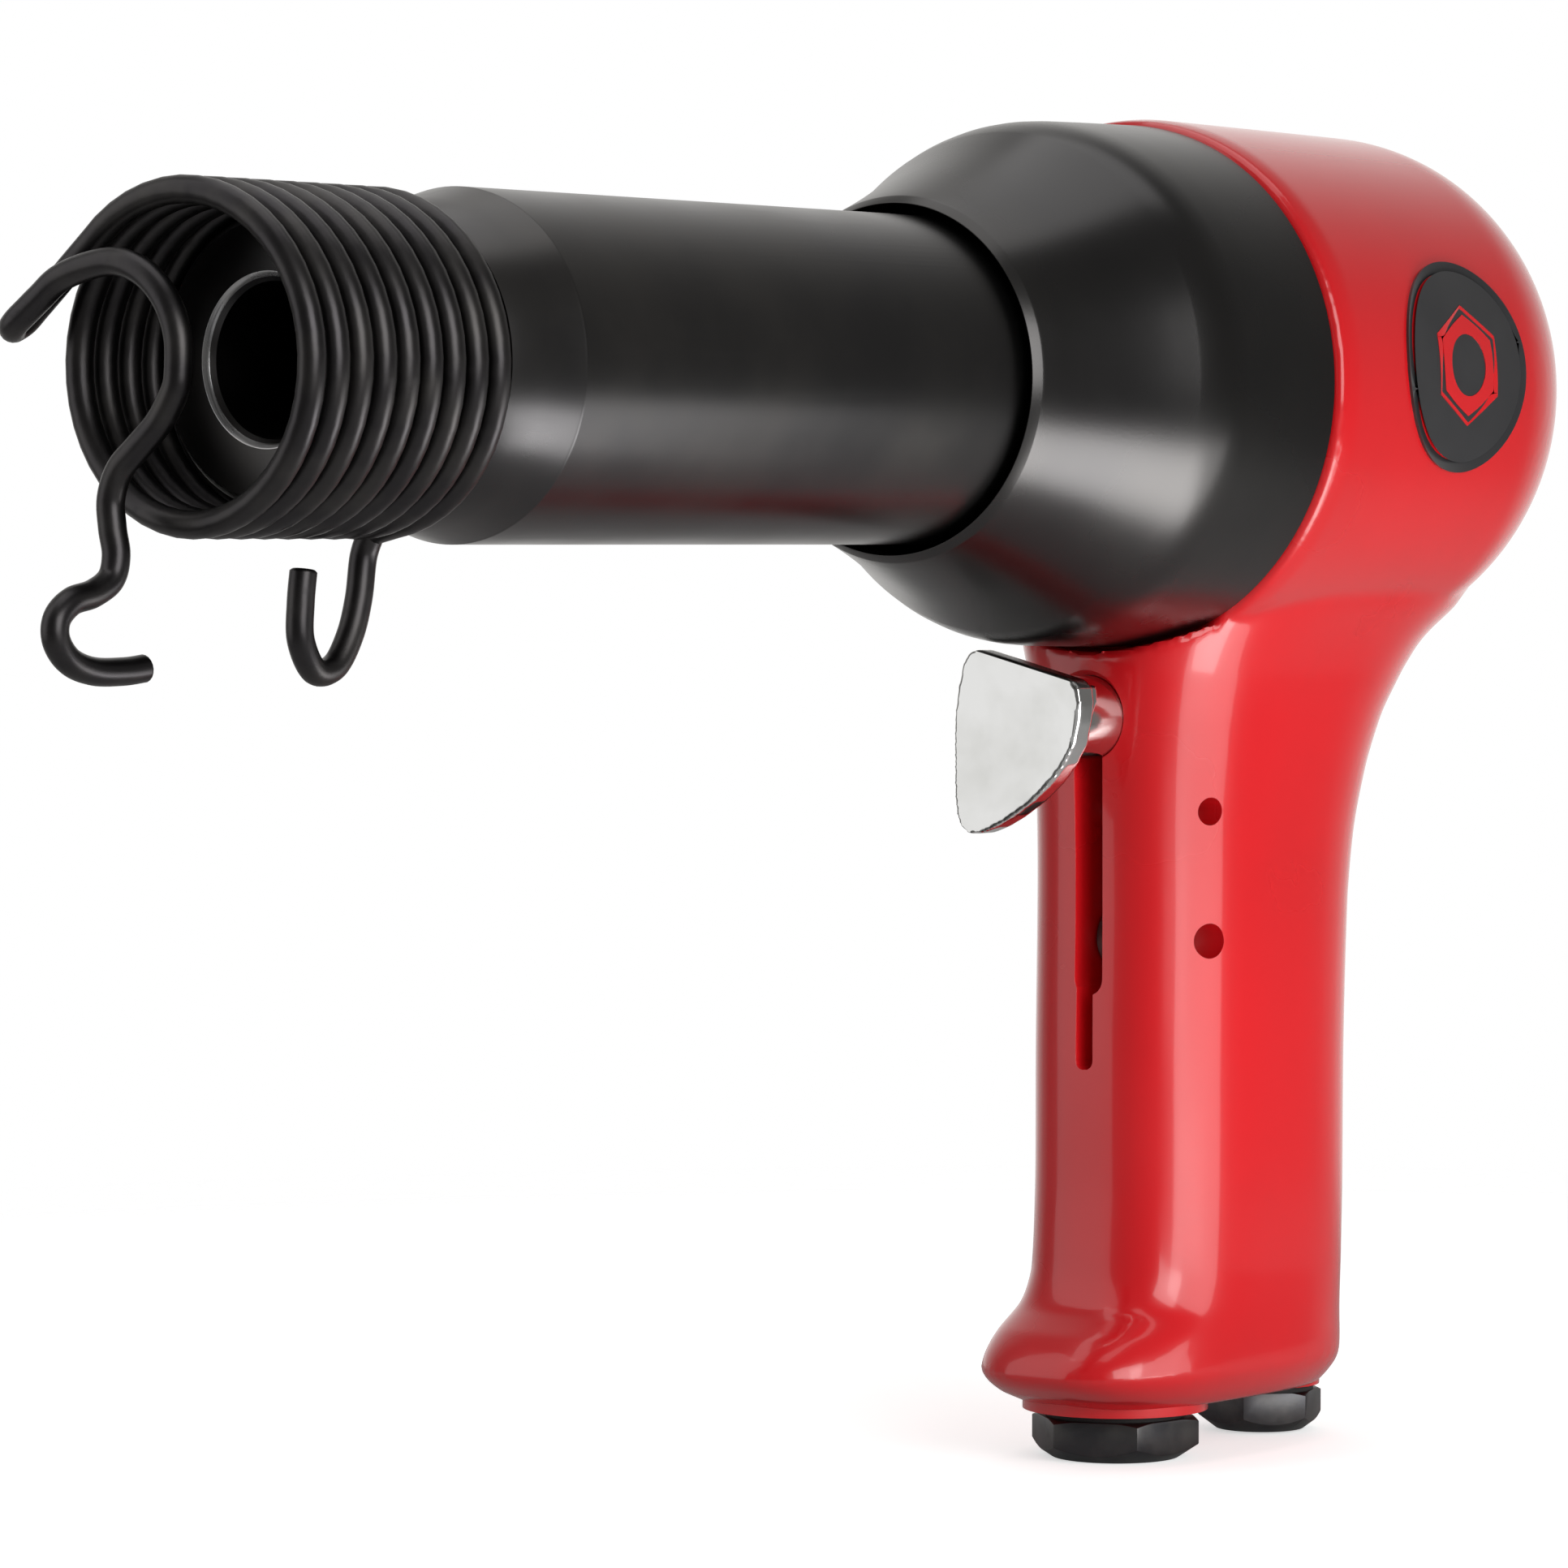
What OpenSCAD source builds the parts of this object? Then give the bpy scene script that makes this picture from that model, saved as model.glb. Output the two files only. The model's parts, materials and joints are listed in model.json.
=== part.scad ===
// Pneumatic air hammer: barrel with beehive retainer, exhaust deflector, pistol handle.
// Millimetres. Origin: mouth of the straight shank bore, on the barrel axis.
// +X runs back towards the head, +Z up, +Y to the tool's right.
// Stations along the barrel are counted from the nose face and moved by from_nose().

/* [Barrel] */
// Barrel outer radius
barrel_r = 22; // [18:0.5:26]
// Radius of the nose under the retainer coil
nose_r = 17.7; // [14:0.1:20]
// Length of the nose under the retainer coil
nose_len = 22.2; // [15:0.1:30]
// Nose face to the barrel's rear end
barrel_len = 189; // [160:1:210]
// Radius of the straight shank bore (0.498 in shank)
shank_r = 6.35; // [5:0.05:8]
// Length of the tapered mouth in front of the shank bore
mouth_len = 12; // [8:1:20]
// End of the straight shank bore
shank_end = 46; // [35:1:60]
// Piston bore radius (0.75 in)
piston_bore_r = 9.525; // [8:0.025:12]
// Rear flange radius
flange_r = 33; // [28:0.5:34]
// Radius of the spigot that seats in the handle
spigot_r = 29; // [24:0.5:30]

/* [Piston] */
// Piston length
piston_len = 37; // [25:1:50]

/* [Retainer] */
// Wire diameter of the retainer spring
wire_d = 3.4; // [2.5:0.1:4.5]
// Mean radius of the coil
coil_r = 19.7; // [17:0.1:22]
// Station of the coil's rear end
coil_rear = 20.1; // [12:0.1:22]
// Station of the coil's front end
coil_front = -15.2; // [-18:0.1:-8]
// Full turns in the coil, before the last part turn
coil_turns = 8; // [5:1:10]

/* [Exhaust deflector] */
// Station of the deflector's open front
deflector_front = 121.6; // [110:0.1:130]
// Radius of the open front
deflector_mouth_r = 23.5; // [22.5:0.1:26]
// Largest radius
deflector_r = 36.3; // [33:0.1:38]

/* [Handle] */
// Station of the head's front rim
rim_x = 174.6; // [165:0.1:185]
// Head radius at the rim
head_r = 37.3; // [34:0.1:40]
// Head radius where the dome starts
dome_r = 36.9; // [33:0.1:40]
// Station where the dome starts
dome_x = 222; // [205:1:235]
// Depth of the dome
dome_depth = 31.5; // [20:0.5:40]
// Squareness of the grip's section, 2 is an ellipse
grip_power = 3; // [2:0.1:4]
// Height of the seats under the grip
grip_bottom = -143; // [-160:1:-120]

/* [Throttle] */
// Height of the throttle bore's axis
throttle_z = -46; // [-55:1:-40]
// Throttle bore radius
throttle_r = 5.9; // [4:0.1:8]
// Roll of the trigger about its bore axis
trigger_roll = 14; // [0:1:20]

/* [Fittings] */
// Across flats of the air inlet bushing
inlet_af = 21; // [17:1:27]
// Across flats of the rear plug
plug_af = 15.9; // [12:0.1:20]
// Radius of the female inlet thread (1/4 NPT)
inlet_thread_r = 5.8; // [5:0.1:8]
// Height of the inlet bushing's face
inlet_face = -149.6; // [-160:0.1:-145]

/* [Hidden] */
$fn = 96;

running_gap = 0.05;            // radial clearance of a running fit
wire_r = wire_d / 2;
piston_rest = shank_end + 0.8;
counterbore_x = 176;           // rear counterbore of the barrel, for the valve
counterbore_r = 19;
chest_r = 26;                  // air chest in the handle behind the barrel
chest_end = 203;
inlet_x = 173.7;               // axis of the inlet bushing
riser_x = 209.5;               // axis of the rear air passage and its plug
riser_r = 4.6;
crossing_z = -118;             // passage between inlet and riser
sleeve_x = [184, 198];         // throttle sleeve, front and rear
stem_r = 2.2;
port_x = 192.4;                // air port from the sleeve up to the chest
lever_pivot = [176, -77];      // x and z of the lever's pivot pin
lever_stop = [176, -59];       // x and z of the stop pin
pivot_pin_r = 2.4;
stop_pin_r = 1.9;
pin_half = 9.8;                // half length of both pins
lever_tip_r = 2.5;
lever_tip_x = 175.6;
slot_w = 4.6;
slot_foot_r = 1.3;             // narrow foot of the lever slot, a little off centre
slot_foot_y = 0.6;
slot_foot_z = -93.7;
badge_x = 205.6;
badge_z = 3;
badge_r = 15;

steel = [0.20, 0.20, 0.21];
bright = [0.72, 0.72, 0.74];
black = [0.09, 0.09, 0.10];
red = [0.80, 0.07, 0.10];
rubber = [0.06, 0.06, 0.06];

// Grip stations from the underside up: height, front, rear, half width.
grip_stations = [
    [-141.8, 161.9, 212.8, 13.5], [-141.5, 161.4, 213.3, 14.2], [-140, 157.5, 214.6, 15.6],
    [-138.5, 155.3, 215.8, 16.6], [-137, 154.3, 215.9, 17.3], [-134.8, 155.3, 216.0, 17.2],
    [-131.5, 158.5, 216.2, 16.7], [-128.5, 163.5, 216.3, 16.3], [-124, 165.9, 216.7, 16.0],
    [-112, 166.8, 217.0, 16.0], [-92, 166.9, 217.2, 16.0], [-72, 167.2, 218.2, 16.0],
    [-62, 167.1, 219.9, 16.1], [-53, 166.9, 222.8, 16.6], [-46, 166.6, 226.2, 17.4],
    [-40, 166.4, 230.5, 18.6], [-35.5, 166.3, 234.2, 20.2], [-31, 166.3, 240.7, 22.4],
    [-24, 167.0, 246.0, 25.0]];

// ---------- helpers ----------

// Moves a part drawn from the nose face to the part's origin.
module from_nose() {
    translate([-mouth_len, 0, 0]) children();
}

// Solid of revolution about the barrel axis; points are [station, radius].
module turned(points) {
    rotate([0, 90, 0]) rotate([0, 0, 90]) rotate_extrude() polygon([for (p = points) [p[1], p[0]]]);
}

// Straight cylinder along X.
module rod_x(x0, x1, r) {
    translate([x0, 0, 0]) rotate([0, 90, 0]) cylinder(r = r, h = x1 - x0);
}

// Straight cylinder along Y, centred on y = 0.
module rod_y(x, z, half, r) {
    translate([x, 0, z]) rotate([90, 0, 0]) cylinder(r = r, h = 2 * half, center = true);
}

// Ring along X.
module ring_x(x0, x1, outer, inner) {
    difference() {
        rod_x(x0, x1, outer);
        rod_x(x0 - 1, x1 + 1, inner);
    }
}

// O-ring lying round the X axis.
module o_ring_x(x, mean_r, cord_r) {
    translate([x, 0, 0]) rotate([0, 90, 0]) rotate_extrude() translate([mean_r, 0]) circle(cord_r, $fn = 24);
}

// Points of an arc, for outlines drawn as [station, radius].
function arc(cx, cy, rx, ry, a0, a1, steps) =
    [for (i = [0:steps]) let (a = a0 + (a1 - a0) * i / steps) [cx + rx * cos(a), cy + ry * sin(a)]];

function unit(v) = v / norm(v);
function tangent(path, i) =
    let (n = len(path)) unit(path[min(i + 1, n - 1)] - path[max(i - 1, 0)]);

// One normal per point, each carried over from the last and kept square to the path.
function carried(n, t) = unit(n - (n * t) * t);
function normals(path, first) =
    [for (i = 0, n = carried(first, tangent(path, 0)); i < len(path);
        i = i + 1, n = i < len(path) ? carried(n, tangent(path, i)) : n) n];

// Smooth curve through points (Catmull-Rom), a few steps per span.
function spline_at(p, i, t) =
    let (n = len(p), a = p[max(i - 1, 0)], b = p[i], c = p[i + 1], d = p[min(i + 2, n - 1)])
    0.5 * (2 * b + (c - a) * t + (2 * a - 5 * b + 4 * c - d) * t * t + (3 * b - a - 3 * c + d) * t * t * t);
function smooth(p, steps) =
    concat([for (i = [0:len(p) - 2], k = [0:steps - 1]) spline_at(p, i, k / steps)], [p[len(p) - 1]]);

// Wire of radius r swept along a path of points.
module wire(path, r, first, sides = 8) {
    n = len(path);
    across = normals(path, first);
    rings = [for (i = [0:n - 1], k = [0:sides - 1]) let (u = across[i], v = cross(tangent(path, i), u),
        a = 360 * k / sides) path[i] + r * (cos(a) * u + sin(a) * v)];
    skin = [for (i = [0:n - 2], k = [0:sides - 1]) let (a = i * sides + k, b = i * sides + (k + 1) % sides)
        each [[a, b + sides, b], [a, a + sides, b + sides]]];
    start = [for (k = [0:sides - 1]) k];
    end = [for (k = [sides - 1:-1:0]) (n - 1) * sides + k];
    polyhedron(points = rings, faces = concat([start], skin, [end]));
}

// ---------- barrel group ----------

module barrel() {
    color(steel) from_nose() difference() {
        turned([[0, 0], [0, nose_r - 1], [1, nose_r], [nose_len, nose_r], [nose_len, 19.4],
            [24, 19.95], [27, 20.55], [30, 21.2], [33, barrel_r - 0.05], [33.2, barrel_r], [162, barrel_r],
            [162, flange_r - 1], [163, flange_r], [174.2, flange_r], [174.2, spigot_r],
            [barrel_len - 1, spigot_r], [barrel_len, spigot_r - 1], [barrel_len, 0]]);
        turned([[-1, 0], [-1, 11.7], [1.2, 9.45], [2.5, 9.2], [mouth_len, shank_r], [mouth_len, 0]]);
        rod_x(mouth_len - 1, shank_end + 1, shank_r);
        rod_x(shank_end, barrel_len + 1, piston_bore_r);
        rod_x(counterbore_x, barrel_len + 1, counterbore_r);
        // O-ring groove in the spigot
        ring_x(180, 183, spigot_r + 1, 27.2);
        // exhaust ports under the deflector
        for (a = [45:90:315], x = [130, 142])
            translate([x, 0, 0]) rotate([a, 0, 0]) cylinder(r = 2.6, h = barrel_r + 1);
        dowel_holes(counterbore_x - 4, counterbore_x + 1);
    }
}

// Two holes for the valve's dowels.
module dowel_holes(x0, x1) {
    for (s = [-1, 1]) translate([0, s * 15.6, 0]) rod_x(x0, x1, 1.25);
}

module piston() {
    color(bright) from_nose() turned([[piston_rest, 0], [piston_rest, 7.2], [piston_rest + 1, 8.2],
        [piston_rest + 4, 8.2], [piston_rest + 5, piston_bore_r - running_gap],
        [piston_rest + piston_len - 1, piston_bore_r - running_gap],
        [piston_rest + piston_len, piston_bore_r - 1], [piston_rest + piston_len, 0]]);
}

// ---------- retainer spring ----------

// Plane of the gate, in front of the coil
gate_x = -19;
// Point on the returning strand where the gate turns, and that strand's direction
gate_pivot = [gate_x, 20.9, 5.95];
strand_dir = [0, -0.82, 0.5724];
gate_gap = 0.12;               // half the gap between the two wire ends
last_turn = 225;               // angle at which the wire leaves the coil
coil_angle = 360 * coil_turns + last_turn;
coil_steps = 20;               // points per turn
hook_y = 2.6;                  // plane of the rear hook
finger_y = 6.5;                // plane of the gate's finger hook
arch_r = 11.3;                 // arch of the gate over the mouth
arch_y = 7.6;

// Coil from the rear, bottom dead centre, over the near side.
function coil_point(a) =
    [coil_rear + (coil_front - coil_rear) * a / coil_angle, -coil_r * sin(a), -coil_r * cos(a)];
coil_path = [for (i = [1:floor(coil_angle * coil_steps / 360)]) coil_point(i * 360 / coil_steps)];
// hook at the rear: free end, round the bottom and up to the coil
rear_hook = smooth([[9.1, hook_y, -25.2], [8.6, hook_y, -29], [8.6, hook_y, -33.5], [11.0, hook_y, -37.2],
    [14.6, hook_y, -36.7], [17.4, hook_y, -33], [19.0, hook_y, -28.5], [19.9, hook_y, -23.4],
    [20.1, 1.4, -20.4]], 3);
// straight strand from the coil's front to the hairpin, and back to the gate
strand = [[-15.3, 17.3, 11.1], [-15.4, 20.3, 8.5], [-15.6, 23.0, 6.2]];
hairpin = smooth([[-16.1, 25.1, 4.4], [-17.3, 25.7, 3.3], [-18.5, 24.6, 3.6],
    gate_pivot - 2.2 * strand_dir], 3);

module retainer_coil() {
    color(black) from_nose() wire(concat(rear_hook, coil_path, strand, hairpin,
        [gate_pivot - gate_gap * strand_dir]), wire_r, [0, 1, 0]);
}

// Arch over the mouth, leg and finger hook.
gate_arch = [for (a = [75:23:190]) [gate_x, arch_y + arch_r * cos(a), arch_r * sin(a)]];
gate_leg = [[gate_x, -2.9, -4.2], [gate_x, -0.5, -7.6], [gate_x, 2.9, -10.5], [gate_x, 5.9, -13.1],
    [gate_x, 7.4, -16.5], [gate_x, 7.2, -20], [gate_x, 6.6, -23.2]];
finger_hook = [[-20, finger_y, -26], [-23, finger_y, -27.7], [-26.6, finger_y, -28.6], [-29, finger_y, -30.6],
    [-29.1, finger_y, -33.2], [-26.9, finger_y, -35.6], [-23, finger_y, -36.8], [-18, finger_y, -36.9],
    [-14.6, finger_y, -36.6]];
gate_path = concat([gate_pivot + gate_gap * strand_dir],
    smooth(concat([gate_pivot + 2.5 * strand_dir, [gate_x, 15.6, 9.5]], gate_arch, gate_leg, finger_hook), 3));

module retainer_gate() {
    color(black) from_nose() wire(gate_path, wire_r, [1, 0, 0]);
}

// ---------- exhaust deflector ----------

module exhaust_deflector() {
    bore = flange_r + running_gap;
    color(black) from_nose() difference() {
        turned([[deflector_front, deflector_mouth_r], [122.9, 24.5], [126, 25.6], [130, 27.1], [134, 28.7],
            [138, 30.4], [142, 32.3], [145.5, 34.1], [147.5, 34.9], [149.5, 35.45], [151.5, 35.75], [154, 35.9],
            [160, 36.05], [rim_x - 0.3, deflector_r], [rim_x - 0.3, deflector_mouth_r]]);
        turned([[deflector_front - 1, 0], [deflector_front - 1, deflector_mouth_r - 0.15],
            [124.4, deflector_mouth_r - 0.15], [130, 25], [138, 28.2], [145, 31.4], [150, 32.8], [155, bore],
            [rim_x, bore], [rim_x, 0]]);
    }
}

module deflector_seal() {
    color(rubber) from_nose() ring_x(159.8, 161.9, flange_r, flange_r - 4);
}

module spigot_o_ring() {
    color(rubber) from_nose() o_ring_x(181.5, 28.1, 0.85);
}

// ---------- kicker valve ----------

seat_x = [counterbore_x, 179.5];
case_x = [179.5, 190];
disc_x = [179.6, 181.2];

module valve_seat() {
    color(bright) from_nose() difference() {
        rod_x(seat_x[0], seat_x[1], counterbore_r - running_gap);
        rod_x(seat_x[0] - 1, seat_x[1] + 1, 4);
        for (a = [30:60:330]) rotate([a, 0, 0]) translate([0, 0, 9.5]) rod_x(seat_x[0] - 1, seat_x[1] + 1, 1.4);
        dowel_holes(seat_x[0] - 1, seat_x[1] + 1);
    }
}

module valve_disc() {
    color(bright) from_nose() ring_x(disc_x[0], disc_x[1], 12.2, 3);
}

module valve_case() {
    color(bright) from_nose() difference() {
        rod_x(case_x[0], case_x[1], counterbore_r - running_gap);
        rod_x(case_x[0] - 1, 183.6, 12.5);
        rod_x(case_x[0], case_x[1] + 1, 3.2);
        for (a = [0:60:300]) rotate([a, 0, 0]) translate([0, 0, 8.6]) rod_x(183, case_x[1] + 1, 1.8);
        dowel_holes(case_x[0] - 1, 187);
    }
}

module valve_dowels() {
    color(steel) from_nose()
        for (s = [-1, 1]) translate([0, s * 15.6, 0]) rod_x(counterbore_x - 3.8, 186.8, 1.2);
}

module valve_spring_washer() {
    color(steel) from_nose() turned([[190.05, 13.2], [190.05, 14.6], [200.9, 22.4], [chest_end - 0.05, 22.4],
        [chest_end - 0.05, 20.8], [201.6, 20.8]]);
}

module head_gasket() {
    color(rubber) from_nose() ring_x(barrel_len, 190, spigot_r - 0.2, chest_r);
}

// ---------- handle ----------

// Half outline of the head, as [station, radius], grown by g.
function head_outline(g = 0) = concat([[rim_x, 0], [rim_x, head_r - 0.8 + g], [rim_x + 0.8, head_r + g]],
    arc(dome_x, 0, dome_depth + g, dome_r + g, 90, 0, 18));

// One closed section of the grip at a height, as a superellipse.
grip_sides = 36;
function signed_pow(v, p) = sign(v) * pow(abs(v), p);
function grip_section(s) = [for (k = [0:grip_sides - 1]) let (a = 360 * (k + 0.5) / grip_sides)
    [(s[1] + s[2]) / 2 + (s[2] - s[1]) / 2 * signed_pow(cos(a), 2 / grip_power),
        s[3] * signed_pow(sin(a), 2 / grip_power), s[0]]];

module grip_body() {
    n = len(grip_stations);
    m = grip_sides;
    points = [for (s = grip_stations) each grip_section(s)];
    walls = [for (i = [0:n - 2], k = [0:m - 1]) let (a = i * m + k, b = i * m + (k + 1) % m)
        each [[a, b + m, b], [a, a + m, b + m]]];
    polyhedron(points = points, faces = concat([[for (k = [0:m - 1]) k]], walls,
        [[for (k = [m - 1:-1:0]) (n - 1) * m + k]]));
}

// Slot for the throttle lever in the grip's front.
module lever_slot() {
    translate([160, -slot_w / 2, -85]) cube([25, slot_w, 35]);
    translate([160, slot_foot_y - slot_foot_r, slot_foot_z]) cube([20, 2 * slot_foot_r, 10]);
    translate([160, slot_foot_y, slot_foot_z]) rotate([0, 90, 0]) cylinder(r = slot_foot_r, h = 20);
}

module handle() {
    color(red) from_nose() difference() {
        union() {
            turned(head_outline());
            // seats of the inlet bushing and the rear plug
            translate([inlet_x, 0, grip_bottom]) cylinder(r = 13, h = 5);
            translate([riser_x, 0, grip_bottom]) cylinder(r = 8.6, h = 5);
            difference() {
                grip_body();
                rod_x(150, rim_x + 0.2, deflector_r + 0.6);
                rod_x(rim_x - 1, dome_x, 30);
            }
        }
        // seat of the barrel spigot, and the air chest
        rod_x(rim_x - 1, barrel_len + 1, spigot_r + running_gap);
        rod_x(barrel_len, chest_end, chest_r);
        // throttle bore, with its rear end at the riser
        translate([0, 0, throttle_z]) rod_x(150, 214, throttle_r);
        lever_slot();
        rod_y(lever_pivot[0], lever_pivot[1], 30, pivot_pin_r + running_gap);
        rod_y(lever_stop[0], lever_stop[1], 30, stop_pin_r + running_gap);
        // air passages: inlet, crossing, riser, and up to the chest
        translate([inlet_x, 0, -150]) cylinder(r = 8, h = 22.5);
        translate([inlet_x, 0, -130]) cylinder(r = 5.5, h = 16);
        translate([0, 0, crossing_z]) rod_x(inlet_x, riser_x, riser_r);
        translate([riser_x, 0, -150]) cylinder(r = riser_r, h = 104);
        translate([riser_x, 0, -150]) cylinder(r = 6, h = 17);
        translate([port_x, 0, throttle_z]) cylinder(r = 2.4, h = 30);
    }
}

module badge() {
    color(black) from_nose() intersection() {
        difference() {
            turned(head_outline(0.45));
            turned(head_outline());
        }
        translate([badge_x, 0, badge_z]) rotate([90, 0, 0]) cylinder(r = badge_r, h = 60);
    }
}

// ---------- throttle ----------

trigger_shift = 1;             // the plate's centre, right of the boss
trigger_top = -38.4;
// Half of the plate's outline, as [half width, z].
trigger_half = [[8.2, trigger_top], [9.6, -39.2], [10.3, -41], [10.5, -44], [10.4, -47], [9.7, -50], [8.5, -53],
    [6.9, -56], [5.2, -58.5], [3.6, -60.4], [1.8, -61.8]];
trigger_tip = [0, -62.3];
// Front and rear of the plate seen from the side, as [x, z].
trigger_front = [[150.4, trigger_top + 1], [151, -44], [151.2, -47], [151, -50], [150.4, -53], [149.3, -56],
    [148, -58.5], [146.8, -60.5], [145.4, -62.6]];
trigger_rear = [[148.2, -62.6], [149.6, -60.5], [151.2, -58.5], [152.6, -56], [153.7, -53], [154.4, -50.5],
    [157.2, trigger_top + 1]];

// The plate: its outline, extruded along X and cut to its side view.
module trigger_plate() {
    outline = concat(trigger_half, [trigger_tip], [for (i = [len(trigger_half) - 1:-1:0])
        [-trigger_half[i][0], trigger_half[i][1]]]);
    intersection() {
        rotate([90, 0, 0]) linear_extrude(40, center = true) polygon(concat(trigger_front, trigger_rear));
        translate([140, trigger_shift, 0]) rotate([90, 0, 90]) linear_extrude(30) polygon(outline);
    }
}

module trigger() {
    color(bright) from_nose()
        translate([0, 0, throttle_z]) rotate([trigger_roll, 0, 0]) translate([0, 0, -throttle_z]) union() {
            trigger_plate();
            translate([0, 0, throttle_z]) rod_x(154, lever_tip_x - lever_tip_r - 0.1, throttle_r - running_gap);
        }
}

module throttle_lever() {
    thick = 3.8;
    web = [[174, -73.6], [178.6, -63.5], [178.6, -55.4], [173.4, -47], [177.2, -46.6], [177.9, -48.9],
        [181.2, -55], [181.2, -63.5], [180, -76.6]];
    color(steel) from_nose() difference() {
        union() {
            rod_y(lever_pivot[0], lever_pivot[1], thick / 2, 4.2);
            rotate([90, 0, 0]) linear_extrude(thick, center = true) polygon(web);
            rod_y(lever_tip_x, throttle_z, thick / 2, lever_tip_r);
        }
        rod_y(lever_pivot[0], lever_pivot[1], 5, pivot_pin_r + running_gap);
    }
}

module lever_pivot_pin() {
    color(steel) from_nose() rod_y(lever_pivot[0], lever_pivot[1], pin_half, pivot_pin_r);
}

module lever_stop_pin() {
    color(steel) from_nose() rod_y(lever_stop[0], lever_stop[1], pin_half, stop_pin_r);
}

module throttle_sleeve() {
    color(bright) from_nose() translate([0, 0, throttle_z]) difference() {
        rod_x(sleeve_x[0], sleeve_x[1], throttle_r - running_gap);
        rod_x(sleeve_x[0] - 1, sleeve_x[1] + 1, stem_r + running_gap);
        rod_x(189.5, sleeve_x[1] + 1, 3.8);
        translate([port_x, 0, 0]) cylinder(r = 2.2, h = 8);
        ring_x(186.2, 188.2, throttle_r + 1, 4.4);
        ring_x(195.6, 197, throttle_r + 1, 4.7);
    }
}

module sleeve_o_rings() {
    color(rubber) from_nose() translate([0, 0, throttle_z]) {
        o_ring_x(187.2, 5.15, 0.7);
        o_ring_x(196.3, 5.3, 0.55);
    }
}

module throttle_valve() {
    color(bright) from_nose() translate([0, 0, throttle_z])
        turned([[lever_tip_x + lever_tip_r + 0.1, 0], [lever_tip_x + lever_tip_r + 0.1, stem_r - 0.4],
            [178.8, stem_r], [190, stem_r], [191, 1.6], [198.9, 1.6], [198.9, 4.9], [201.2, 4.9],
            [201.2, 2.4], [204, 2.4], [204, 0]]);
}

module throttle_seal() {
    color(rubber) from_nose() translate([0, 0, throttle_z]) ring_x(198.1, 198.9, 4.8, 1.6);
}

module throttle_spring() {
    spring_r = 3.7;
    turns = 4;
    steps = 14;
    x0 = 201.75;
    pitch = 1.85;
    color(bright) from_nose() translate([0, 0, throttle_z])
        wire([for (i = [0:turns * steps]) let (a = 360 * i / steps)
            [x0 + pitch * i / steps, spring_r * cos(a), spring_r * sin(a)]], 0.45, [1, 0, 0], sides = 6);
}

module spring_seat() {
    color(steel) from_nose() translate([0, 0, throttle_z]) ring_x(209.8, 211.4, throttle_r - running_gap, 2.4);
}

// ---------- fittings ----------

// Hexagon of a size across flats that hangs h below z = 0, its lower corners cut away by a shallow cone.
module hex_head(af, h, turn) {
    corner = af / 2 / cos(30);
    cone = 2.2;
    rotate([0, 0, turn]) intersection() {
        translate([0, 0, -h]) cylinder(r = corner, h = h, $fn = 6);
        rotate_extrude() polygon([[0, -h], [af / 2 - 1.6, -h], [corner + 0.1, cone - h], [corner + 0.1, 0], [0, 0]]);
    }
}

module air_inlet_bushing() {
    top = grip_bottom - 0.8;
    color(steel) from_nose() translate([inlet_x, 0, 0]) difference() {
        union() {
            translate([0, 0, top]) hex_head(inlet_af, top - inlet_face, -9.5);
            translate([0, 0, top - 1]) cylinder(r = 8 - running_gap, h = 17);
        }
        translate([0, 0, inlet_face - 1]) cylinder(r = inlet_thread_r, h = 15);
        translate([0, 0, inlet_face - 0.01]) cylinder(r1 = inlet_thread_r + 0.9, r2 = inlet_thread_r, h = 0.9);
        translate([0, 0, inlet_face]) cylinder(r = 4.6, h = 30);
    }
}

module inlet_gasket() {
    color(rubber) from_nose() translate([inlet_x, 0, grip_bottom - 0.8]) difference() {
        cylinder(r = 9.8, h = 0.8);
        translate([0, 0, -1]) cylinder(r = 8, h = 3);
    }
}

module inlet_screen() {
    color(bright) from_nose() translate([inlet_x, 0, -134.6]) difference() {
        cylinder(r = 4.55, h = 7);
        translate([0, 0, -1]) cylinder(r = 3.9, h = 7.2);
        for (x = [-2.1, 0, 2.1], y = [-2.1, 0, 2.1]) translate([x, y, 0]) cylinder(r = 0.7, h = 9, $fn = 16);
    }
}

module rear_plug() {
    top = grip_bottom - 0.6;
    color(steel) from_nose() translate([riser_x, 0, 0]) difference() {
        union() {
            translate([0, 0, top]) hex_head(plug_af, 5.7, 20);
            translate([0, 0, top - 1]) cylinder(r = 6 - running_gap, h = 10);
        }
        translate([0, 0, top - 7]) cylinder(r = 2.4, h = 2.6);
    }
}

module rear_plug_gasket() {
    color(rubber) from_nose() translate([riser_x, 0, grip_bottom - 0.6]) difference() {
        cylinder(r = 7.7, h = 0.6);
        translate([0, 0, -1]) cylinder(r = 6, h = 3);
    }
}

barrel();
piston();
retainer_coil();
retainer_gate();
exhaust_deflector();
deflector_seal();
spigot_o_ring();
valve_seat();
valve_disc();
valve_case();
valve_dowels();
valve_spring_washer();
head_gasket();
handle();
badge();
trigger();
throttle_lever();
lever_pivot_pin();
lever_stop_pin();
throttle_sleeve();
sleeve_o_rings();
throttle_valve();
throttle_seal();
throttle_spring();
spring_seat();
air_inlet_bushing();
inlet_gasket();
inlet_screen();
rear_plug();
rear_plug_gasket();
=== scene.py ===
"""Looks of a pneumatic air hammer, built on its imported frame.

Lengths inside the classes are millimetres in the tool's own stations: x is counted back from the
barrel's nose face, y to the tool's right and z up. at() turns a station into metres in the frame.
"""

from __future__ import annotations

import json
import logging
import math
from abc import ABC, abstractmethod
from dataclasses import dataclass, field
from enum import Enum
from typing import Sequence

import bmesh
import bpy
from mathutils import Matrix, Vector

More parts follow.
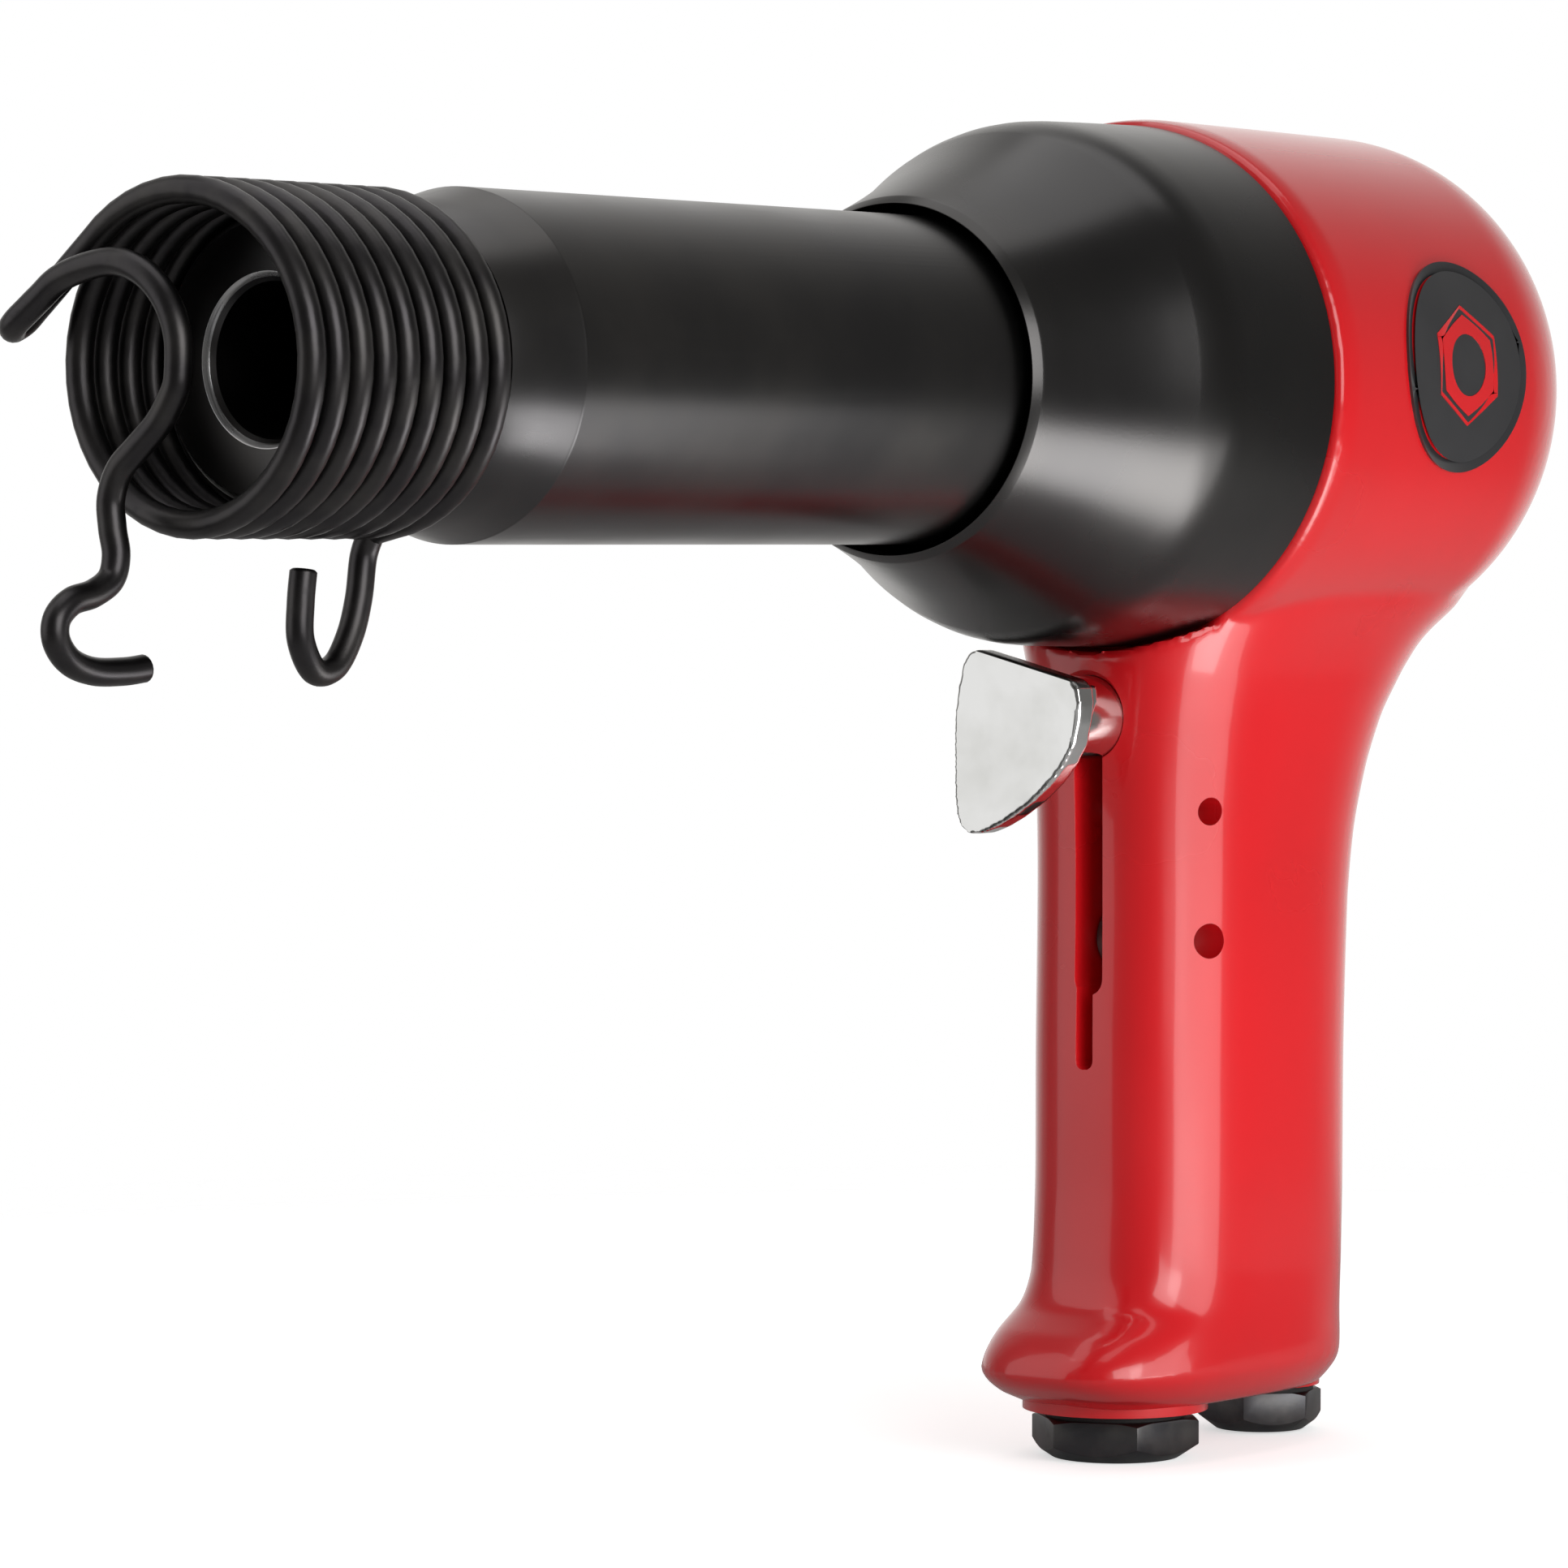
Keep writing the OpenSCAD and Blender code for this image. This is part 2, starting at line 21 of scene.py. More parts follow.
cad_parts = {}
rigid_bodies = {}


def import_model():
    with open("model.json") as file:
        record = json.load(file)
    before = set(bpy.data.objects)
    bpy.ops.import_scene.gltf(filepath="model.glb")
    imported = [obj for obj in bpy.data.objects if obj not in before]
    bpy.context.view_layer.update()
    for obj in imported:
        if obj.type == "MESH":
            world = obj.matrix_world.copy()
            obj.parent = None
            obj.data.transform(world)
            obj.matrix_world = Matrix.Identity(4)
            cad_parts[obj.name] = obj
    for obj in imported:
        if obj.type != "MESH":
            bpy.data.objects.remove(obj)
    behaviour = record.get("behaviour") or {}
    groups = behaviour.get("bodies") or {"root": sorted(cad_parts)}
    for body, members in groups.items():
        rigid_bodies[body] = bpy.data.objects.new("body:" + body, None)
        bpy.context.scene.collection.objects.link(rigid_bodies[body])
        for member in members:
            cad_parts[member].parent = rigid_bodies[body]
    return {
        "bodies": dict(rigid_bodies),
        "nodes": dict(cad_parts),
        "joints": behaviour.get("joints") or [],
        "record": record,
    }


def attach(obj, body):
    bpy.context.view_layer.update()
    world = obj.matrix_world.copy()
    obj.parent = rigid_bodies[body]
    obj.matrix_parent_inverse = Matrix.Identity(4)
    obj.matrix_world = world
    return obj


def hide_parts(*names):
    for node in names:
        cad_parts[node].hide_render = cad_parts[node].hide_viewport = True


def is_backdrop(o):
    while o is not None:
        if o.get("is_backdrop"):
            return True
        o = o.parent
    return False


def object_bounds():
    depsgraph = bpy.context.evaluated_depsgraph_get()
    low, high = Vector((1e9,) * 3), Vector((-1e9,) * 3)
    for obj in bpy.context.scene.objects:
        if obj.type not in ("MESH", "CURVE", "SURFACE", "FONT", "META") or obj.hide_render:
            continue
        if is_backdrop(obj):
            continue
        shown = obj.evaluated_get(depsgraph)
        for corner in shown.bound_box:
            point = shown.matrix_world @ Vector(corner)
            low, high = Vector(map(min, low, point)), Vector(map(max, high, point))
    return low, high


log = logging.getLogger("air_hammer")

MM = 0.001
MOUTH = 12.0  # from the nose face back to the frame's origin
INLET_X = 173.7  # station of the air inlet
PLUG_X = 209.5  # station of the rear plug
THROTTLE_Z = -46.0  # height of the trigger's boss and its bore
LEVER_X = 176.0  # station of both cross pins
FULL_TURN = 2.0 * math.pi
WIRE_TIP = 0.82  # share of the wire's radius left at its cut ends
WIRE_TIP_REACH = 0.15  # how far the cut ends stand out, in wire radii

Mesh = bmesh.types.BMesh
Object = bpy.types.Object
Socket = bpy.types.NodeSocket
Station = tuple[float, float]
Point = tuple[float, float, float]


class Body(Enum):
    """The frame's bodies that new pieces ride on."""

    HAMMER = "hammer"
    TRIGGER = "trigger"
    GATE = "retainer_gate"


class Axis(Enum):
    """Directions that a drill or a rod can take."""

    X = (1.0, 0.0, 0.0)
    Y = (0.0, 1.0, 0.0)
    Z = (0.0, 0.0, 1.0)


def at(x: float, y: float = 0.0, z: float = 0.0) -> Vector:
    """Place a station of the tool in the frame.

    Args:
        x: Millimetres back from the nose face.
        y: Millimetres to the tool's right.
        z: Millimetres up.

    Returns:
        The point in metres, in the frame.
    """
    return Vector(((x - MOUTH) * MM, y * MM, z * MM))


def spin(points: Sequence[Vector], axis: Axis, centre: Vector, steps: int,
         closed: bool = False) -> Mesh:
    """Turn a line of points about an axis.

    Args:
        points: The line, in metres.
        axis: Direction of the axis.
        centre: A point on the axis, in metres.
        steps: Segments round the axis.
        closed: Whether the line is a loop that never meets the axis.

    Returns:
        The turned mesh, with outward normals.
    """
    bm = bmesh.new()
    verts = [bm.verts.new(point) for point in points]
    pairs = list(zip(verts, verts[1:]))
    if closed:
        pairs.append((verts[-1], verts[0]))
    edges = [bm.edges.new(pair) for pair in pairs]
    bmesh.ops.spin(
        bm, geom=verts + edges, cent=centre, axis=axis.value, dvec=(0.0, 0.0, 0.0),
        angle=FULL_TURN, steps=steps, use_merge=True, use_duplicate=False,
    )
    tidy(bm)
    return bm


def lathe(outline: Sequence[Station], steps: int = 128, closed: bool = False) -> Mesh:
    """Turn an outline about the barrel axis.

    Args:
        outline: Stations as (x, radius), starting and ending on the axis unless closed.
        steps: Segments round the axis.
        closed: Whether the outline is a loop that never meets the axis.

    Returns:
        The turned mesh.
    """
    return spin([at(x, 0.0, r) for x, r in outline], Axis.X, Vector((0.0, 0.0, 0.0)), steps, closed)


def tidy(bm: Mesh, gap: float = 0.002) -> None:
    """Merge doubled vertices and turn the faces outwards.

    Args:
        bm: Mesh to tidy.
        gap: Merge distance in millimetres.
    """
    bmesh.ops.remove_doubles(bm, verts=bm.verts, dist=gap * MM)
    bmesh.ops.recalc_face_normals(bm, faces=bm.faces)


def verts_of(made: dict) -> list[bmesh.types.BMVert]:
    """List the vertices in what an extrusion returned.

    Args:
        made: The extrusion's result.

    Returns:
        Its vertices.
    """
    return [item for item in made["geom"] if isinstance(item, bmesh.types.BMVert)]


def loft(bm: Mesh, places: Sequence[Matrix]) -> None:
    """Carry a mesh's only loop of edges from place to place, and close both ends.

    Args:
        bm: Mesh that holds the loop, already in the first place.
        places: Where the loop is at each step.
    """
    edges = list(bm.edges)
    bmesh.ops.contextual_create(bm, geom=edges)
    for before, after in zip(places, places[1:]):
        extruded = bmesh.ops.extrude_edge_only(bm, edges=edges)
        edges = [item for item in extruded["geom"] if isinstance(item, bmesh.types.BMEdge)]
        bmesh.ops.transform(bm, matrix=after @ before.inverted(), verts=verts_of(extruded))
    bmesh.ops.contextual_create(bm, geom=edges)
    tidy(bm)


def rod(axis: Axis, centre: Vector, radius: float, length: float, segments: int = 48,
        tip_radius: float | None = None) -> Mesh:
    """Make a straight rod or cone.

    Args:
        axis: Direction of the rod.
        centre: Its middle, in metres.
        radius: Radius at its low end, in millimetres.
        length: Length in millimetres.
        segments: Sides round it.
        tip_radius: Radius at its high end, the same as radius if None.

    Returns:
        A closed mesh.
    """
    bm = bmesh.new()
    turn = Vector((0.0, 0.0, 1.0)).rotation_difference(Vector(axis.value)).to_matrix().to_4x4()
    bmesh.ops.create_cone(
        bm, cap_ends=True, segments=segments, radius1=radius * MM,
        radius2=(radius if tip_radius is None else tip_radius) * MM, depth=length * MM,
        matrix=Matrix.Translation(centre) @ turn,
    )
    return bm


def sweep_wire(path: Sequence[Vector], radius: float, cut: tuple[bool, bool] = (True, True),
               segments: int = 20) -> Mesh:
    """Sweep a round wire along a path.

    Args:
        path: Centre line, in metres.
        radius: Wire radius in millimetres.
        cut: Which of its two ends is cut off with a chamfer; the other one stays flat.
        segments: Sides round the wire.

    Returns:
        A closed mesh.
    """
    bm = bmesh.new()
    last = len(path) - 1
    tangents = [(path[min(i + 1, last)] - path[max(i - 1, 0)]).normalized() for i in range(last + 1)]
    frames = []
    normal = tangents[0].orthogonal().normalized()
    for point, tangent in zip(path, tangents):
        normal = (normal - normal.dot(tangent) * tangent).normalized()
        turn = Matrix((normal, tangent.cross(normal), tangent)).transposed().to_4x4()
        frames.append(Matrix.Translation(point) @ turn)
    narrow = Matrix.Diagonal((WIRE_TIP, WIRE_TIP, 1.0, 1.0))
    reach = WIRE_TIP_REACH * radius * MM
    rings = list(frames)
    if cut[0]:
        rings.insert(0, frames[0] @ Matrix.Translation((0.0, 0.0, -reach)) @ narrow)
    if cut[1]:
        rings.append(frames[-1] @ Matrix.Translation((0.0, 0.0, reach)) @ narrow)
    bmesh.ops.create_circle(bm, cap_ends=False, segments=segments, radius=radius * MM, matrix=rings[0])
    loft(bm, rings)
    return bm


def fair(a: Vector, b: Vector, c: Vector, d: Vector, t: float) -> Vector:
    """Find a point of the smooth curve through four points.

    Args:
        a: Point before the span.
        b: Start of the span.
        c: End of the span.
        d: Point after the span.
        t: Share of the span, from 0 to 1.

    Returns:
        The point between b and c.
    """
    return 0.5 * (2 * b + (c - a) * t + (2 * a - 5 * b + 4 * c - d) * t * t
                  + (3 * b - a - 3 * c + d) * t ** 3)


def curve_through(points: Sequence[Point], steps: int) -> list[Vector]:
    """Draw a smooth curve through points.

    Args:
        points: Stations of the tool, in millimetres.
        steps: Points drawn for each span.

    Returns:
        The curve's points, in metres.
    """
    knots = [at(*p) for p in points]
    last = len(knots) - 1
    drawn = []
    for i in range(last):
        a, b, c, d = knots[max(i - 1, 0)], knots[i], knots[i + 1], knots[min(i + 2, last)]
        drawn += [fair(a, b, c, d, k / steps) for k in range(steps)]
    return drawn + [knots[last]]


def arc(centre: Station, radii: Station, start: float, end: float, steps: int) -> list[Station]:
    """List the points of an arc or part of an ellipse.

    Args:
        centre: Its centre.
        radii: Its half axes.
        start: First angle, in degrees.
        end: Last angle, in degrees.
        steps: Spans between the first and the last point.

    Returns:
        The points.
    """
    angles = [math.radians(start + (end - start) * i / steps) for i in range(steps + 1)]
    return [(centre[0] + radii[0] * math.cos(a), centre[1] + radii[1] * math.sin(a)) for a in angles]


def to_object(bm: Mesh, name: str) -> Object:
    """Free a bmesh into a new object that sits at the origin.

    Args:
        bm: Mesh to use; it is freed.
        name: Name of the object and its mesh.

    Returns:
        The linked object.
    """
    mesh = bpy.data.meshes.new(name)
    bm.to_mesh(mesh)
    bm.free()
    obj = bpy.data.objects.new(name, mesh)
    bpy.context.scene.collection.objects.link(obj)
    return obj


def to_bmesh(obj: Object) -> Mesh:
    """Turn an object back into a bmesh and discard the object.

    Args:
        obj: Object to take the mesh of.

    Returns:
        Its mesh.
    """
    bm = bmesh.new()
    bm.from_mesh(obj.data)
    bpy.data.meshes.remove(obj.data)
    return bm


def settle(obj: Object) -> None:
    """Apply an object's modifiers to its mesh.

    Args:
        obj: Object to change.
    """
    bpy.context.view_layer.update()
    shaped = obj.evaluated_get(bpy.context.evaluated_depsgraph_get())
    mesh = bpy.data.meshes.new_from_object(shaped)
    obj.modifiers.clear()
    old, obj.data = obj.data, mesh
    mesh.name = obj.name
    bpy.data.meshes.remove(old)


def combine(obj: Object, tools: Sequence[Mesh], operation: str) -> None:
    """Cut or join other solids into an object, then discard them.

    Args:
        obj: Object to change.
        tools: Closed meshes; they are freed.
        operation: DIFFERENCE, UNION or INTERSECT.
    """
    for tool in tools:
        other = to_object(tool, "tool")
        step = obj.modifiers.new("combine", "BOOLEAN")
        step.operation = operation
        step.solver = "EXACT"
        step.object = other
        settle(obj)
        bpy.data.meshes.remove(other.data)


def reskin(obj: Object, voxel: float, passes: int) -> None:
    """Cover an object with one even skin and smooth it.

    Args:
        obj: Object to change.
        voxel: Size of the skin's cells, in millimetres.
        passes: Smoothing passes.
    """
    skin = obj.modifiers.new("skin", "REMESH")
    skin.mode = "VOXEL"
    skin.voxel_size = voxel * MM
    smooth = obj.modifiers.new("smooth", "SMOOTH")
    smooth.factor, smooth.iterations = 0.5, passes
    settle(obj)


def soften(obj: Object, width: float, segments: int = 3, angle: float = 35.0) -> None:
    """Round an object's sharp edges.

    Args:
        obj: Object to change.
        width: Width of the rounding, in millimetres.
        segments: Rows of faces in it.
        angle: Smallest corner that is rounded, in degrees.
    """
    bevel = obj.modifiers.new("edges", "BEVEL")
    bevel.width = width * MM
    bevel.segments = segments
    bevel.limit_method = "ANGLE"
    bevel.angle_limit = math.radians(angle)


def shade(obj: Object, angle: float = 35.0) -> None:
    """Shade an object smoothly, except across sharp corners.

    Args:
        obj: Object to change.
        angle: Smallest corner that stays sharp, in degrees.
    """
    obj.data.shade_smooth()
    obj.data.set_sharp_from_angle(angle=math.radians(angle))


class NodeSheet:
    """Shorthand for laying out one node tree."""

    def __init__(self, tree: bpy.types.NodeTree) -> None:
        """Start on an existing tree.

        Args:
            tree: Tree to add nodes to.
        """
        self.tree = tree

    def add(self, kind: str, **settings: object) -> bpy.types.Node:
        """Add a node.

        Args:
            kind: Node type, such as ShaderNodeTexNoise.
            **settings: Attributes to set on it.

        Returns:
            The node.
        """
        node = self.tree.nodes.new(kind)
        for key, value in settings.items():
            setattr(node, key, value)
        return node

    def join(self, source: Socket, target: Socket) -> None:
        """Link two sockets.

        Args:
            source: Output socket.
            target: Input socket.
        """
        self.tree.links.new(source, target)

    def remap(self, value: Socket, low: float, high: float, to_low: float,
              to_high: float) -> Socket:
        """Map one range of a value to another, clamped.

        Args:
            value: Value to map.
            low: Start of its range.
            high: End of its range.
            to_low: What the start becomes.
            to_high: What the end becomes.

        Returns:
            The mapped value.
        """
        node = self.add("ShaderNodeMapRange")
        self.join(value, node.inputs["Value"])
        ends = {"From Min": low, "From Max": high, "To Min": to_low, "To Max": to_high}
        for key, number in ends.items():
            node.inputs[key].default_value = number
        return node.outputs["Result"]

    def stretched(self, scale: Point) -> Socket:
        """Read object coordinates, stretched.

        Args:
            scale: Stretch along each axis.

        Returns:
            The coordinates.
        """
        coordinates = self.add("ShaderNodeTexCoord")
        mapping = self.add("ShaderNodeMapping")
        mapping.inputs["Scale"].default_value = scale
        self.join(coordinates.outputs["Object"], mapping.inputs["Vector"])
        return mapping.outputs["Vector"]


class SurfaceGroup:
    """The node group that every finish shares: mottling, grain and fine scratches."""

    NAME = "worked_surface"

    def __init__(self) -> None:
        """Build the group once."""
        tree = bpy.data.node_groups.new(self.NAME, "ShaderNodeTree")
        for name, default in (("Mottle Scale", 60.0), ("Grain Scale", 1500.0), ("Scratch Scale", 260.0)):
            socket = tree.interface.new_socket(name, in_out="INPUT", socket_type="NodeSocketFloat")
            socket.default_value = default
        for name in ("Mottle", "Grain", "Scratch"):
            tree.interface.new_socket(name, in_out="OUTPUT", socket_type="NodeSocketFloat")
        sheet = NodeSheet(tree)
        inputs = sheet.add("NodeGroupInput")
        outputs = sheet.add("NodeGroupOutput")
        plain = sheet.stretched((1.0, 1.0, 1.0))
        for name, detail in (("Mottle", 4.0), ("Grain", 2.0)):
            node = sheet.add("ShaderNodeTexNoise")
            node.inputs["Detail"].default_value = detail
            sheet.join(plain, node.inputs["Vector"])
            sheet.join(inputs.outputs[f"{name} Scale"], node.inputs["Scale"])
            sheet.join(node.outputs["Fac"], outputs.inputs[name])
        streak = sheet.add("ShaderNodeTexNoise")
        streak.inputs["Detail"].default_value = 3.0
        sheet.join(sheet.stretched((0.12, 1.0, 1.6)), streak.inputs["Vector"])
        sheet.join(inputs.outputs["Scratch Scale"], streak.inputs["Scale"])
        sheet.join(sheet.remap(streak.outputs["Fac"], 0.62, 0.75, 0.0, 1.0), outputs.inputs["Scratch"])
        self.tree = tree


@dataclass(frozen=True)
class Finish:
    """One surface finish of the tool.

    Attributes:
        name: Name of its material.
        colour: Base colour, linear.
        accent: Colour in the mottled patches, linear.
        metallic: 1 for bare metal.
        roughness: Roughness where the surface is cleanest.
        roughness_spread: How much rougher the mottling makes it.
        coat: Weight of the clear coat.
        coat_roughness: Roughness of the clear coat.
        mottle_scale: Patches per metre.
        grain_scale: Grains per metre.
        grain_height: Height of the grain, in millimetres.
        scratch: How much the fine scratches show in the roughness.
        specular: Specular level.
    """

    name: str
    colour: Point
    accent: Point
    metallic: float = 1.0
    roughness: float = 0.3
    roughness_spread: float = 0.1
    coat: float = 0.0
    coat_roughness: float = 0.05
    mottle_scale: float = 60.0
    grain_scale: float = 1500.0
    grain_height: float = 0.004
    scratch: float = 0.06
    specular: float = 0.5

    def build(self, group: SurfaceGroup) -> bpy.types.Material:
        """Make the material.

        Args:
            group: The shared node group.

        Returns:
            The material.
        """
        material = bpy.data.materials.new(self.name)
        material.use_nodes = True
        tree = material.node_tree
        tree.nodes.clear()
        sheet = NodeSheet(tree)
        output = sheet.add("ShaderNodeOutputMaterial")
        shader = sheet.add("ShaderNodeBsdfPrincipled")
        sheet.join(shader.outputs["BSDF"], output.inputs["Surface"])
        shader.inputs["Metallic"].default_value = self.metallic
        shader.inputs["Coat Weight"].default_value = self.coat
        shader.inputs["Coat Roughness"].default_value = self.coat_roughness
        shader.inputs["Specular IOR Level"].default_value = self.specular
        surface = sheet.add("ShaderNodeGroup", node_tree=group.tree)
        surface.inputs["Mottle Scale"].default_value = self.mottle_scale
        surface.inputs["Grain Scale"].default_value = self.grain_scale
        blend = sheet.add("ShaderNodeMix", data_type="RGBA")
        blend.inputs["A"].default_value = (*self.colour, 1.0)
        blend.inputs["B"].default_value = (*self.accent, 1.0)
        sheet.join(sheet.remap(surface.outputs["Mottle"], 0.4, 0.7, 0.0, 1.0), blend.inputs["Factor"])
        sheet.join(blend.outputs["Result"], shader.inputs["Base Color"])
        cloudy = sheet.remap(surface.outputs["Mottle"], 0.3, 0.75, self.roughness,
                             self.roughness + self.roughness_spread)
        scratched = sheet.add("ShaderNodeMath", operation="MULTIPLY_ADD")
        scratched.inputs[1].default_value = self.scratch
        sheet.join(surface.outputs["Scratch"], scratched.inputs[0])
        sheet.join(cloudy, scratched.inputs[2])
        sheet.join(scratched.outputs["Value"], shader.inputs["Roughness"])
        bump = sheet.add("ShaderNodeBump")
        bump.inputs["Distance"].default_value = self.grain_height * MM
        sheet.join(surface.outputs["Grain"], bump.inputs["Height"])
        sheet.join(bump.outputs["Normal"], shader.inputs["Normal"])
        return material


# Every finish, by the record's slot.
FINISHES: dict[str, Finish] = {
    "barrel_steel": Finish(
        "black_oxide_barrel", (0.075, 0.073, 0.074), (0.092, 0.088, 0.085), roughness=0.27,
        roughness_spread=0.08, mottle_scale=45.0, grain_scale=2600.0, grain_height=0.003, scratch=0.02),
    "spring_wire": Finish(
        "black_oxide_wire", (0.055, 0.052, 0.054), (0.078, 0.074, 0.072), roughness=0.33,
        roughness_spread=0.10, mottle_scale=140.0, grain_scale=3200.0, grain_height=0.006, scratch=0.12),
    "deflector_black": Finish(
        "satin_black_deflector", (0.070, 0.068, 0.068), (0.084, 0.081, 0.079), roughness=0.25,
        roughness_spread=0.05, mottle_scale=30.0, grain_scale=2200.0, grain_height=0.004, scratch=0.0),
    "red_paint": Finish(
        "red_gloss_paint", (0.70, 0.008, 0.013), (0.64, 0.007, 0.011), metallic=0.0, roughness=0.24,
        roughness_spread=0.05, coat=0.6, coat_roughness=0.07, mottle_scale=25.0, grain_scale=420.0,
        grain_height=0.010, scratch=0.0),
    "badge_black": Finish(
        "charcoal_label", (0.028, 0.028, 0.030), (0.036, 0.036, 0.038), metallic=0.0, roughness=0.30,
        roughness_spread=0.06, coat=0.25, coat_roughness=0.12, mottle_scale=80.0, grain_scale=1600.0,
        grain_height=0.004, scratch=0.04),
    "chrome": Finish(
        "bright_chrome", (0.80, 0.80, 0.79), (0.70, 0.70, 0.68), roughness=0.07, roughness_spread=0.08,
        mottle_scale=90.0, grain_scale=900.0, grain_height=0.003, scratch=0.10),
    "fitting_steel": Finish(
        "dark_plated_fitting", (0.075, 0.075, 0.080), (0.12, 0.118, 0.115), roughness=0.33,
        roughness_spread=0.12, mottle_scale=180.0, grain_scale=2400.0, grain_height=0.006, scratch=0.12),
    "hardened_steel": Finish(
        "hardened_steel", (0.20, 0.20, 0.205), (0.28, 0.275, 0.27), roughness=0.36, roughness_spread=0.12,
        mottle_scale=200.0, grain_scale=2600.0, grain_height=0.004, scratch=0.15),
    "polished_steel": Finish(
        "ground_steel", (0.52, 0.52, 0.53), (0.60, 0.59, 0.58), roughness=0.22, roughness_spread=0.10,
        mottle_scale=150.0, grain_scale=3000.0, grain_height=0.002, scratch=0.20),
    "black_rubber": Finish(
        "nitrile_rubber", (0.018, 0.018, 0.018), (0.03, 0.03, 0.03), metallic=0.0, roughness=0.62,
        roughness_spread=0.15, mottle_scale=120.0, grain_scale=1800.0, grain_height=0.010, scratch=0.05),
    "brass": Finish(
        "plain_brass", (0.60, 0.42, 0.16), (0.48, 0.32, 0.12), roughness=0.30, roughness_spread=0.15,
        mottle_scale=200.0, grain_scale=2600.0, grain_height=0.004, scratch=0.10),
}


class PaintShop:
    """Makes each finish once and hands it out."""

    def __init__(self) -> None:
        """Build every material."""
        group = SurfaceGroup()
        self.by_slot = {slot: finish.build(group) for slot, finish in FINISHES.items()}

    def dress(self, obj: Object, body: Body, slot: str, *stands_for: str) -> None:
        """Give a finished piece its material and its place in the frame.

        Args:
            obj: The piece.
            body: Body it rides on.
            slot: The record's material slot.
            *stands_for: CAD nodes that it replaces.
        """
        obj.data.materials.clear()
        obj.data.materials.append(self.by_slot[slot])
        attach(obj, body.value)
        if stands_for:
            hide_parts(*stands_for)
        log.info("%s rides on %s, %d faces", obj.name, body.value, len(obj.data.polygons))

    def dress_frame(self, frame: dict) -> None:
        """Give every CAD node the finish of its slot.
        """
        slots = {part["node"]: part["material_slot"] for part in frame["record"]["subparts"]}
        for name, node in frame["nodes"].items():
            node.data.materials.clear()
            node.data.materials.append(self.by_slot[slots[name]])


class Part(ABC):
    """Pieces of the tool that are made together."""

    @abstractmethod
    def build(self, shop: PaintShop) -> None:
        """Make the pieces and place them in the frame.

        Args:
            shop: Where their finishes come from.
        """


@dataclass
class Barrel(Part):
    """The barrel: nose, shoulder, body, flange and spigot, with its bores."""

    radius: float = 22.0
    nose_radius: float = 17.7
    nose_length: float = 22.2
    length: float = 189.0
    shank_radius: float = 6.35
    shank_end: float = 46.0
    piston_bore: float = 9.525
    port_radius: float = 2.6
    port_stations: tuple[float, float] = (130.0, 142.0)

    def outline(self) -> list[Station]:
        """Draw the outside and the bore.

        Returns:
            A closed loop of stations.
        """
        return [
            (0.0, 10.66), (0.0, self.nose_radius - 1.0), (1.0, self.nose_radius),
            (self.nose_length, self.nose_radius), (self.nose_length, 19.4), (24.0, 19.95), (27.0, 20.55),
            (30.0, 21.2), (32.7, 21.87), (33.0, 21.95), (33.15, self.radius), (33.4, self.radius),
            (162.0, self.radius), (162.0, 32.5), (162.5, 33.0), (174.2, 33.0), (174.2, 29.0),
            (188.0, 29.0), (self.length, 28.0), (self.length, 19.0), (176.0, 19.0),
            (176.0, self.piston_bore), (self.shank_end, self.piston_bore),
            (self.shank_end, self.shank_radius), (MOUTH, self.shank_radius), (2.5, 9.2), (1.2, 9.45),
        ]

    def build(self, shop: PaintShop) -> None:
        """Make the barrel and the bright ring of its mouth."""
        shell = to_object(lathe(self.outline(), steps=144, closed=True), "barrel_body")
        ports = [self.port(x, turn) for x in self.port_stations for turn in range(4)]
        combine(shell, ports, "DIFFERENCE")
        soften(shell, 0.35, 2, 50.0)
        shade(shell, 30.0)
        shop.dress(shell, Body.HAMMER, "barrel_steel", "barrel")
        ring = to_object(
            lathe([(-0.04, 10.62), (-0.04, 10.48), (0.6, 9.95), (0.68, 10.05), (0.05, 10.64)],
                  closed=True), "mouth_chamfer")
        shade(ring, 60.0)
        shop.dress(ring, Body.HAMMER, "polished_steel")

    def port(self, x: float, turn: int) -> Mesh:
        """Cutter of one exhaust port.

        Args:
            x: Its station.
            turn: Quarter turns from the first port.

        Returns:
            A rod from the bore to outside the barrel.
        """
        middle = at(x, 0.0, (self.radius + 2.0) / 2.0 + 3.0)
        cutter = rod(Axis.Z, middle, self.port_radius, self.radius, 24)
        about = Matrix.Rotation(math.radians(45.0 + 90.0 * turn), 4, "X")
        bmesh.ops.transform(cutter, matrix=about, verts=cutter.verts)
        return cutter


